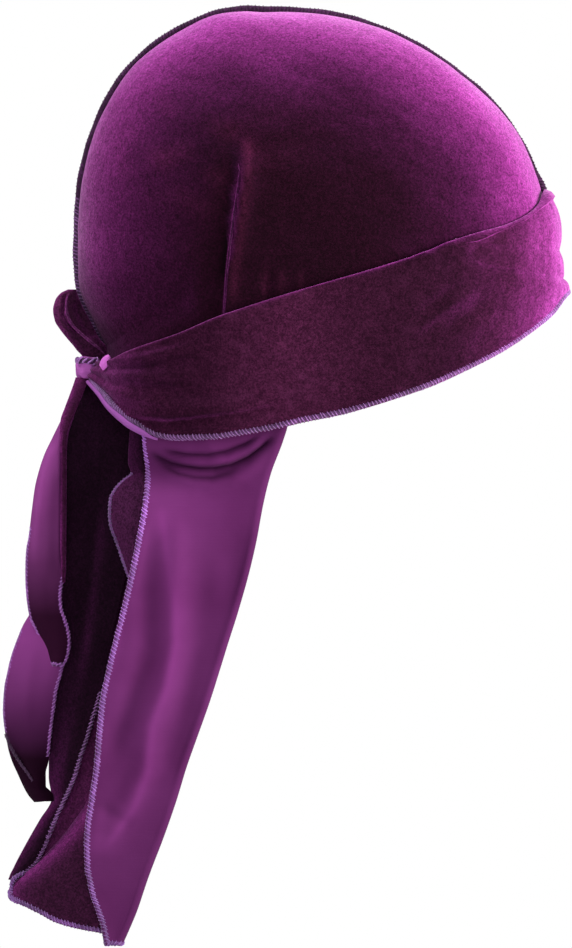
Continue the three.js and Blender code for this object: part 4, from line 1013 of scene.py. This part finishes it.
# end of the strap tucked in beside the knot
tq = np.linspace(0, 1, 26)
t_mid = []
for q in tq:
    c = mix(np.array([-72.6, -31.0, -147.9]), np.array([-69.2, -35.0, -143.2]), q)
    across = np.array([0.55, -0.25, -0.80])
    across /= np.linalg.norm(across)
    half = 0.5 + 1.35 * math.sin(math.pi * min(1, q * 0.9 + 0.12)) ** 0.8
    t_mid.append([c + across * half * k + np.array([0, -0.8 * (1 - k * k), 0]) for k in np.linspace(-1, 1, 13)])
tuck = sheet("strap_tuck", np.array(t_mid), 0.9, SATIN_PINK, SATIN_PINK)

lx0, lx1 = curve(LOOP, "z", "x0"), curve(LOOP, "z", "x1")


BOW_LINE = [(70, 293), (67, 300), (67, 309), (66, 316), (72, 326), (82, 335), (92, 343), (104, 353)]


def petal():
    nz, na = 170, 150
    z0, z1 = min(LOOP["z"]), max(LOOP["z"])
    t = np.linspace(0, 1, nz)
    z = mix(z0, z1, 0.5 - 0.5 * np.cos(math.pi * t))
    th = np.arange(na) / na * TAU
    cx, hx = (lx0(z) + lx1(z)) / 2, np.maximum((lx1(z) - lx0(z)) / 2, 0.5)
    hy = 4.1 * np.maximum(np.sin(math.pi * mix(0.10, 0.92, t)), 0.22)
    ca, sa = np.cos(th)[None], np.sin(th)[None]
    x = cx[:, None] + hx[:, None] * ca
    y = -5.6 + hy[:, None] * sa
    # the fold along the half bow: a rolled outer ply, a dark hollow inside it and a crisp inner fold line
    gx, gy = x / PITCH + GX, GZ - np.broadcast_to(z[:, None], x.shape) / PITCH
    h = crease(gx, gy, BOW_LINE, 0.5, 0.6, 0.04)
    h += crease(gx, gy, [(a - 2.6, b - 0.6) for a, b in BOW_LINE[:-2]], -1.7, 0.75, 0.12)
    h += crease(gx, gy, [(76, 300), (79, 312), (86, 326), (95, 340)], -1.6, 1.9, 0.15)
    h += crease(gx, gy, [(60, 299), (59, 312), (62, 324), (70, 335)], 0.5, 1.1, 0.2)
    y = y - np.where(sa < 0, h, 0)
    p = np.stack([x, y, np.broadcast_to(z[:, None], x.shape)], -1)
    idx = np.arange(nz * na).reshape(nz, na)
    nx = np.roll(idx, -1, axis=1)
    f = np.stack([idx[:-1], nx[:-1], nx[1:], idx[1:]], -1).reshape(-1, 4).tolist()
    f.append(idx[0][::-1].tolist())
    f.append(idx[-1].tolist())
    me = bpy.data.meshes.new("bow_loop")
    me.from_pydata((p.reshape(-1, 3) / 1000).tolist(), [], f)
    me.materials.append(VELVET_BOW)
    me.polygons.foreach_set("use_smooth", np.ones(len(me.polygons), bool))
    me.update()
    ob = bpy.data.objects.new("bow_loop", me)
    bpy.context.scene.collection.objects.link(ob)
    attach(ob, "root")
    return ob


loop = petal()
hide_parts("knot_loop")
bow_px = np.array([(68.5, 296.5), (66.8, 301), (66.4, 307), (67, 313), (69.5, 320), (74, 327), (82, 334.5), (91, 342), (99, 348.5), (104.5, 354)])
bow_z = (GZ - bow_px[:, 1]) * PITCH
bow_x = (bow_px[:, 0] - GX) * PITCH
bc, bh = (lx0(bow_z) + lx1(bow_z)) / 2, (lx1(bow_z) - lx0(bow_z)) / 2
bt = (bow_z - min(LOOP["z"])) / (max(LOOP["z"]) - min(LOOP["z"]))
bt = np.arccos(np.clip(1 - 2 * bt, -1, 1)) / math.pi
by = -5.6 - 4.1 * np.maximum(np.sin(math.pi * mix(0.10, 0.92, bt)), 0.22) * np.sqrt(np.clip(1 - ((bow_x - bc) / bh) ** 2, 0.02, 1))
bow_edge = roll_line("bow_edge", np.stack([bow_x, by - 0.25, bow_z], -1), np.tile([0.0, -1.0, 0.0], (len(bow_px), 1)), 0.55, 0.6, VELVET_BOW_LIP_PAINTED_HIGHLIGHT, 5.0)


# ---- hanging sheets -------------------------------------------------------------------
def strip_grid(table, nz, nx, bow, relief=None, x_edges=None):
    zs = np.array(table["z"], float)
    z = np.linspace(zs.max(), zs.min(), nz)
    t = np.linspace(0, 1, nx)
    x0, x1, y0, y1 = (curve(table, "z", c)(z)[:, None] for c in ("x0", "x1", "y0", "y1"))
    T = t[None]
    g = np.stack([mix(x0, x1, T), mix(y0, y1, T) - bow * 4 * T * (1 - T), np.broadcast_to(z[:, None], (nz, nx))], -1)
    if relief is not None:
        gx, gy = grid_xy(g)
        g[..., 1] -= relief(g, gx, gy, T)
    return g


def long_relief(g, gx, gy, T):
    d, s, t = along_line(gx, gy, [(116, 500), (104, 560), (92, 640), (78, 700), (66, 771), (58, 800)])
    h = 0.5 * np.exp(-(d / 4.0) ** 2) * smooth(0, 0.15, t)
    h += crease(gx, gy, [(100, 470), (94, 560), (84, 640), (72, 720)], -0.9, 3.0, 0.3)
    h += 0.5 * ripple(g, 26, 31)
    return h * np.sin(math.pi * np.clip(T, 0.0, 1.0)) ** 0.35


g_long = strip_grid(TAIL_NEAR, 260, 40, 1.2, long_relief)
tail_long = sheet("tail_long_near", g_long, 1.2, VELVET_PAINTED_SHADE, VELVET_PAINTED_SHADE)
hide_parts("tail_long")
e, i_, n_ = edge_frames(g_long, "j1")
n_ = n_ * np.sign(-n_[:, 1:2])
lo = g_long[:, 0, 2] < (GZ - 690) * PITCH
tl_hem = overlock("tail_long_hem", e[lo], i_[lo], n_[lo], width=1.6, thick=1.5, radius=0.21, roll=THREAD_BAND_ROLL, yarn_mat=THREAD_BAND)
g_far = strip_grid(TAIL_FAR, 220, 34, 0.8, lambda g, gx, gy, T: 0.5 * ripple(g, 22, 33) + crease(gx, gy, [(96, 720), (84, 770), (70, 812), (52, 840)], 0.8, 1.6, 0.2))
tail_far = sheet("tail_long_far", g_far, 1.2, VELVET_SHADE, VELVET_SHADE)


# ---- short tail: lit face with a dark groove and a folded velvet edge beside it ------
GROOVE = [(68, 402), (63.5, 425), (61, 450), (60.5, 500), (60.5, 548), (61.5, 572)]


def short_relief(g, gx, gy, T):
    h = 1.6 * np.sin(math.pi * T) + 0 * gx
    h += crease(gx, gy, GROOVE, -2.2, 0.55, 0.12)
    h += crease(gx, gy, [(54, 432), (43, 475), (37.5, 515), (36, 560)], 1.5, 2.0, 0.3)
    h += crease(gx, gy, [(50, 560), (49, 600), (56, 640)], -0.6, 2.6, 0.3)
    h += 0.3 * ripple(g, 24, 41)
    return h


g_a = strip_grid(TAIL_A, 250, 56, 1.2, short_relief)
tail_a = sheet("tail_short_front", g_a, 1.3, SATIN_TAIL, SATIN_TAIL)
ax, ay = grid_xy(g_a)
# painted highlight along the ridge near the left edge and painted shade beside it
tail_a_painted_light = crease(ax, ay, [(57, 436), (47, 466), (41, 500), (36, 535), (33, 568)], 0.30, 2.2, 0.15) - crease(ax, ay, [(58, 462), (54, 500), (52, 545), (53, 585)], 0.26, 2.6, 0.2)
store_nap_and_painted_light(tail_a, np.tile(tail_a_painted_light.ravel(), 2))
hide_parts("tail_short")
# its velvet side where it leaves the knot
g_v = strip_grid(TAIL_VEIL, 250, 18, 0.5, lambda g, gx, gy, T: 0.5 * np.sin(math.pi * T) + 0.2 * ripple(g, 14, 43) + 0 * gx)
veil = sheet("tail_short_velvet", g_v, 1.1, VELVET_FOLD, VELVET_FOLD)


def lobe_relief(g, gx, gy, T):
    h = 0.35 * ripple(g, 24, 51) + 1.1 * np.sin(math.pi * T)
    h += crease(gx, gy, [(36, 640), (28, 680), (26, 715), (32, 750)], 0.9, 3.2, 0.3)
    h += crease(gx, gy, [(8, 735), (16, 752), (28, 771), (36, 782)], -0.5, 1.0, 0.1)
    return h


g_b = strip_grid(TAIL_B, 210, 40, 2.0, lobe_relief)
tail_b = sheet("tail_short_lobe", g_b, 1.3, SATIN_LOBE, SATIN_LOBE)


def hem_on(name, g, which, lo_px, hi_px, **kw):
    e, i_, n_ = edge_frames(g, which)
    n_ = n_ * np.where(n_[:, 1:2] > 0, -1.0, 1.0)
    gy = GZ - e[:, 2] / PITCH
    keep = (gy >= lo_px) & (gy <= hi_px)
    return overlock(name, e[keep], i_[keep], n_[keep], **kw)


ta_l = hem_on("tail_short_hem_left", g_a, "j0", 526, 666, width=1.4, thick=1.7, radius=0.17, roll=THREAD_TAIL_ROLL, yarn_mat=THREAD_TAIL)
ta_r = hem_on("tail_short_hem_right", g_a, "j1", 574, 666, width=1.7, thick=1.8, radius=0.2, roll=THREAD_TAIL_ROLL, yarn_mat=THREAD_TAIL)
e, i_, n_ = edge_frames(g_a, "i1")
ta_t = overlock("tail_short_hem_tip", e, i_, n_ * np.where(n_[:, 1:2] > 0, -1.0, 1.0), width=1.8, thick=1.9, radius=0.2, roll=THREAD_TAIL_ROLL, yarn_mat=THREAD_TAIL)
tb_r = hem_on("lobe_hem_right", g_b, "j1", 655, 756, width=1.6, thick=1.8, radius=0.19, roll=THREAD_TAIL_ROLL, yarn_mat=THREAD_TAIL)
tb_l = hem_on("lobe_hem_left", g_b, "j0", 628, 732, width=1.2, thick=1.5, radius=0.16, roll=THREAD_TAIL_ROLL, yarn_mat=THREAD_TAIL)
# stitched line that runs in from the lobe's left edge above its dark tip
line_px = np.array([(7, 733), (11, 744), (17, 755), (23, 764), (29, 772), (34, 780)], float)
lx = curve(TAIL_B, "z", "x0"), curve(TAIL_B, "z", "x1"), curve(TAIL_B, "z", "y0"), curve(TAIL_B, "z", "y1")
lp_pts, _, _ = resample(np.stack([(line_px[:, 0] - GX) * PITCH, 0 * line_px[:, 0] - 13.2, (GZ - line_px[:, 1]) * PITCH], -1), 0.8)
ltan = np.gradient(lp_pts, axis=0)
tb_s = overlock("lobe_stitch_line", lp_pts, np.stack([ltan[:, 2], 0 * ltan[:, 0], -ltan[:, 0]], -1), np.tile([0.0, -1.0, 0.0], (len(lp_pts), 1)), width=1.2, thick=1.3, radius=0.16, roll=THREAD_FAINT_PAINTED_SHADE, yarn_mat=THREAD_FAINT_PAINTED_SHADE)

g_f = strip_grid(FOLD, 120, 40, 2.0, lambda g, gx, gy, T: 0.5 * np.sin(math.pi * T) + 0.2 * ripple(g, 14, 61))
fold = sheet("flap_ruffle", g_f, 1.4, VELVET_CURL, VELVET_CURL)
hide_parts("cape_fold")
f_h = hem_on("flap_ruffle_hem", g_f, "j0", 472, 578, width=2.3, thick=2.2, roll=THREAD_TAIL_ROLL, yarn_mat=THREAD_SHADE, radius=0.23)

# ---- neck flap ---------------------------------------------------------------------------
CAPE_F = {c: curve(CAPE, "z", c) for c in ("xFree", "xFold", "xBack", "side")}
hem_at = curve(HEM, "along", "z")
CAPE_TOP, BAND_HEM_Z, NAPE_RISE = -161.3, -177.3, 10.5


def cape_point(al, v):
    z = mix(CAPE_TOP + NAPE_RISE * smooth(1.42, 1.85, al) * (1 - smooth(2.25, 2.68, al)), hem_at(al), v)
    xfree, xfold, xback, side = (CAPE_F[c](z) for c in ("xFree", "xFold", "xBack", "side"))
    xf = xfold - FLAP_FOLD
    t = np.clip(al / 0.9, 0, 1)
    x1 = mix(xfree, xf, t)
    y1 = -(side + 2 * FLAP_FOLD + 2.6 * (1 - t) ** 2)
    a = math.pi * np.clip((al - 0.9) / 0.2, 0, 1)
    x2 = xf + FLAP_FOLD * np.sin(a)
    y2 = -(side + FLAP_FOLD + FLAP_FOLD * np.cos(a))
    t3 = np.clip((al - 1.1) / 1.9, 0, 1)
    a3 = math.pi * t3
    front = np.where(t3 < 0.5, xf, xf - 12)
    x3 = front - (front - xback) * np.abs(np.sin(a3)) ** 0.72
    y3 = -side * np.sign(np.cos(a3)) * np.abs(np.cos(a3)) ** 0.72
    x = np.where(al < 0.9, x1, np.where(al < 1.1, x2, x3))
    y = np.where(al < 0.9, y1, np.where(al < 1.1, y2, y3))
    depth = np.where(al < 1, 1.5, np.where(al < 1.1, mix(1.5, 5.9, (al - 1) / 0.1), 5.9))
    limit = (1 - depth / 78) ** POWER
    w = smooth(-206, BAND_HEM_Z - 3, z)
    dx, dz = x - CX, z - CZ
    over = form(np.stack([x, y, z], -1)) > limit
    rest = np.maximum(limit - (np.hypot(dx, dz) / head_radius(dx, dz)) ** POWER, 1e-4)
    y = np.where((w > 0) & over, mix(y, np.sign(y) * HALF_WIDTH * rest ** (1 / POWER), w), y)
    return np.stack([x, y, z], -1)


def flap_painted_light(p, al):
    """Painted highlight along the long crest of the turned-out part and on smaller ridges, painted shade beside the
    crest and in its creases.
    """
    gx, gy = grid_xy(p)
    crest = [(160, 500), (167, 545), (174, 600), (175, 642), (166, 688), (152, 724), (149, 752), (148, 770), (134, 806), (112, 838), (98, 856)]
    v = crease(gx, gy, crest, 0.26, 1.9, 0.10) + crease(gx, gy, crest, 0.17, 5.5, 0.05)
    v += crease(gx, gy, [(104, 800), (98, 832), (94, 862)], 0.20, 3.0, 0.3) + crease(gx, gy, [(121, 610), (117, 640), (108, 680)], 0.22, 2.0, 0.3)
    v += crease(gx, gy, [(148, 540), (150, 590), (150, 640), (136, 690), (120, 730), (110, 780)], -0.13, 4.5, 0.25)
    v += crease(gx, gy, [(212, 540), (206, 620), (196, 680), (182, 735), (170, 790)], -0.10, 6.0, 0.25)
    v += crease(gx, gy, [(148, 450), (160, 457.5), (172, 463), (186, 466), (200, 468), (215, 468), (232, 464.5), (247, 458), (262, 447), (276, 434)], -0.66, 1.7, 0.10)
    v += crease(gx, gy, [(158, 446), (170, 451), (186, 454.5), (207, 455), (226, 451.5), (245, 444), (262, 434)], -0.56, 1.4, 0.2)
    v += crease(gx, gy, [(156, 459), (166, 468), (178, 474), (194, 477.5), (212, 478), (230, 473.5), (244, 467)], -0.46, 1.3, 0.2)
    v += crease(gx, gy, [(176, 459), (205, 461.5), (228, 458), (252, 446)], 0.20, 1.3, 0.3)
    v += crease(gx, gy, [(98, 798), (112, 808), (132, 822)], -0.08, 2.2, 0.3)
    return 1.15 * v * (al < 0.98) * (p[..., 1] < 0)


def flap():
    al = np.concatenate([np.linspace(0, 0.9, 64, endpoint=False), np.linspace(0.9, 1.1, 14, endpoint=False), np.linspace(1.1, 3, 96)])
    v = np.linspace(0, 1, 250)
    V, AL = np.meshgrid(v, al, indexing="ij")
    g = cape_point(AL, V)
    gx, gy = grid_xy(g)
    n = grid_normals(g)
    lapel = 1 - smooth(0.86, 0.98, AL)
    h = crease(gx, gy, [(150, 451), (160, 458), (172, 463.5), (186, 466.5), (200, 468.5), (215, 468.5), (232, 465), (247, 458.5), (262, 447), (276, 434)], -2.3, 1.6, 0.12)
    h += crease(gx, gy, [(158, 464), (168, 472), (190, 480), (210, 483), (232, 479), (254, 465), (270, 450)], 1.2, 2.4, 0.22)
    h += crease(gx, gy, [(164, 454), (186, 460), (208, 462), (228, 459), (250, 448), (266, 437)], 1.3, 1.7, 0.18)
    h += crease(gx, gy, [(158, 461), (167, 468.5), (180, 474.5), (195, 478), (212, 478.5), (230, 474)], -1.3, 1.0, 0.3)
    h += crease(gx, gy, [(160, 447), (171, 451.5), (186, 455), (207, 455.5), (226, 452), (245, 444.5), (262, 434)], -1.5, 1.3, 0.2)
    h += crease(gx, gy, [(176, 488), (176, 560), (175, 640), (167, 686), (151, 728), (147, 764), (130, 800), (108, 830), (94, 852)], 2.4, 5.0, 0.26)
    h += crease(gx, gy, [(152, 515), (150, 590), (149, 650), (134, 690), (119, 730), (110, 780)], -2.2, 4.8, 0.2)
    h += crease(gx, gy, [(206, 530), (200, 640), (180, 725), (158, 800)], -1.2, 6.0, 0.25)
    h += crease(gx, gy, [(240, 520), (226, 590), (207, 670)], -0.8, 5.5, 0.3)
    h += crease(gx, gy, [(98, 802), (112, 814), (136, 826)], -0.6, 3.2, 0.3)
    rel = lapel * h * mix(0.2, 1.0, smooth(0.0, 0.11, AL))
    back = smooth(1.05, 1.25, AL)
    folds = np.sin((AL - 1.1) * 9.5 + 1.3 * np.sin(V * 3 + 0.5)) * (0.5 + 1.6 * V) * np.sin(math.pi * np.clip((AL - 1.1) / 1.9, 0, 1))
    rel_back = back * (folds + 0.8 * ripple(g, 42, 72) * smooth(0.05, 0.3, V)) * (1 - 0.9 * np.exp(-((g[..., 1] + 8) / 13) ** 2))
    soft = 0.35 * ripple(g, 40, 71) * smooth(0.1, 0.3, V)
    out = np.where(n[..., 1:2] < 0, n, -n)
    g = g + out * ((rel + soft * lapel)[..., None])
    g = g + n * (rel_back * 0.6)[..., None]
    return g, al


g_cape, al = flap()
n = grid_normals(g_cape)
# on the turned-out part the smooth side faces outward; the velvet is the outside of the hanging part
sign = 1.0 if np.mean(n[:, :50, 1]) < 0 else -1.0
front_side = g_cape + n * sign * 0.75
back_side = g_cape - n * sign * 0.75
flap_ob = wall("flap", front_side, back_side, SATIN, VELVET_UNDER)
store_nap_and_painted_light(flap_ob, np.tile(flap_painted_light(g_cape, np.broadcast_to(al[None], g_cape.shape[:2])).ravel(), 2))
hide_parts("cape")


def flap_hem(name, e, i_, n_, keep=None, **kw):
    if keep is not None:
        e, i_, n_ = e[keep], i_[keep], n_[keep]
    return overlock(name, e, i_, n_, **kw)


e, i_, n_ = edge_frames(g_cape, "j0", sign)
c_h1 = flap_hem("flap_hem_free", e, i_, n_, width=2.4, thick=2.0, radius=0.21, roll=THREAD_FLAP_ROLL, yarn_mat=THREAD_FLAP)
e, i_, n_ = edge_frames(g_cape, "i1", sign)
c_h2 = flap_hem("flap_hem_low", e, i_, n_, width=2.4, thick=2.0, radius=0.21, roll=THREAD_FLAP_ROLL, yarn_mat=THREAD_FLAP)
e, i_, n_ = edge_frames(g_cape, "j1", sign)
c_h3 = flap_hem("flap_hem_far", e, i_, n_, width=2.4, thick=2.0, radius=0.21, roll=THREAD_FLAP_ROLL, yarn_mat=THREAD_FLAP)
corner_px = np.array([(24, 871), (17, 873.5), (12, 877.5), (10, 883), (10.2, 889), (12.5, 894.5)], float)
cp, _, _ = resample(np.stack([(corner_px[:, 0] - GX) * PITCH, 0 * corner_px[:, 0] - 9.8, (GZ - corner_px[:, 1]) * PITCH], -1), 0.8)
ct = np.gradient(cp, axis=0)
c_h4 = overlock("flap_hem_corner", cp, np.stack([-ct[:, 2], 0 * ct[:, 0], ct[:, 0]], -1), np.tile([0.0, -1.0, 0.0], (len(cp), 1)), width=1.7, thick=2.2, radius=0.21, roll=THREAD_FLAP_ROLL, yarn_mat=THREAD_FLAP)

# ---- floor, light and camera ----------------------------------------------------------------
fm, fnt, fb = node_tree("floor_pale")
fb.inputs["Base Color"].default_value = (0.86, 0.86, 0.87, 1)
fb.inputs["Roughness"].default_value = 0.9
bpy.ops.mesh.primitive_circle_add(vertices=96, radius=0.62, fill_type="NGON", location=(0, 0, -0.43))
floor = bpy.context.object
floor.name = "floor"
floor.data.materials.append(fm)

world = bpy.data.worlds.new("studio")
bpy.context.scene.world = world
world.use_nodes = True
wn, wl = world.node_tree.nodes, world.node_tree.links
wn.clear()
out = wn.new("ShaderNodeOutputWorld")
see = wn.new("ShaderNodeBackground")
see.inputs["Color"].default_value = (1, 1, 1, 1)
see.inputs["Strength"].default_value = 1.0
fill = wn.new("ShaderNodeBackground")
fill.inputs["Color"].default_value = (0.95, 0.96, 1, 1)
fill.inputs["Strength"].default_value = 0.20
lp = wn.new("ShaderNodeLightPath")
mx = wn.new("ShaderNodeMixShader")
wl.new(lp.outputs["Is Camera Ray"], mx.inputs["Fac"])
wl.new(fill.outputs[0], mx.inputs[1])
wl.new(see.outputs[0], mx.inputs[2])
wl.new(mx.outputs[0], out.inputs["Surface"])


def area(name, loc, target, size, power, color=(1, 1, 1)):
    li = bpy.data.lights.new(name, "AREA")
    li.shape = "DISK"
    li.size = size
    li.energy = power
    li.color = color
    ob = bpy.data.objects.new(name, li)
    bpy.context.scene.collection.objects.link(ob)
    from mathutils import Vector
    ob.location = loc
    ob.rotation_euler = (Vector(target) - Vector(loc)).to_track_quat("-Z", "Y").to_euler()
    return ob


area("key_front", (1.25, -0.5, 0.02), (0.0, 0.0, -0.1), 0.8, 36, (1.0, 0.97, 0.94))
area("rim_top", (-0.44, 0.0, 1.0), (0.0, 0.0, -0.05), 0.8, 22)
area("rim_left", (-1.1, -0.9, 0.05), (-0.08, 0.0, -0.20), 0.6, 1.5)
area("fill_side", (-0.25, -1.6, 0.15), (-0.03, 0, -0.22), 1.0, 10.6)

cam = bpy.data.cameras.new("cam")
cam.lens = 900
cam.sensor_width = 36
cam.clip_end = 50
camo = bpy.data.objects.new("cam", cam)
bpy.context.scene.collection.objects.link(camo)
DIST = 900 * (948 * PITCH / 1000) / 36
camo.location = ((286 - GX) * PITCH / 1000, -DIST, (GZ - 474) * PITCH / 1000)
camo.rotation_euler = (math.radians(90), 0, 0)
bpy.context.scene.camera = camo
bpy.context.scene.view_settings.view_transform = "Standard"
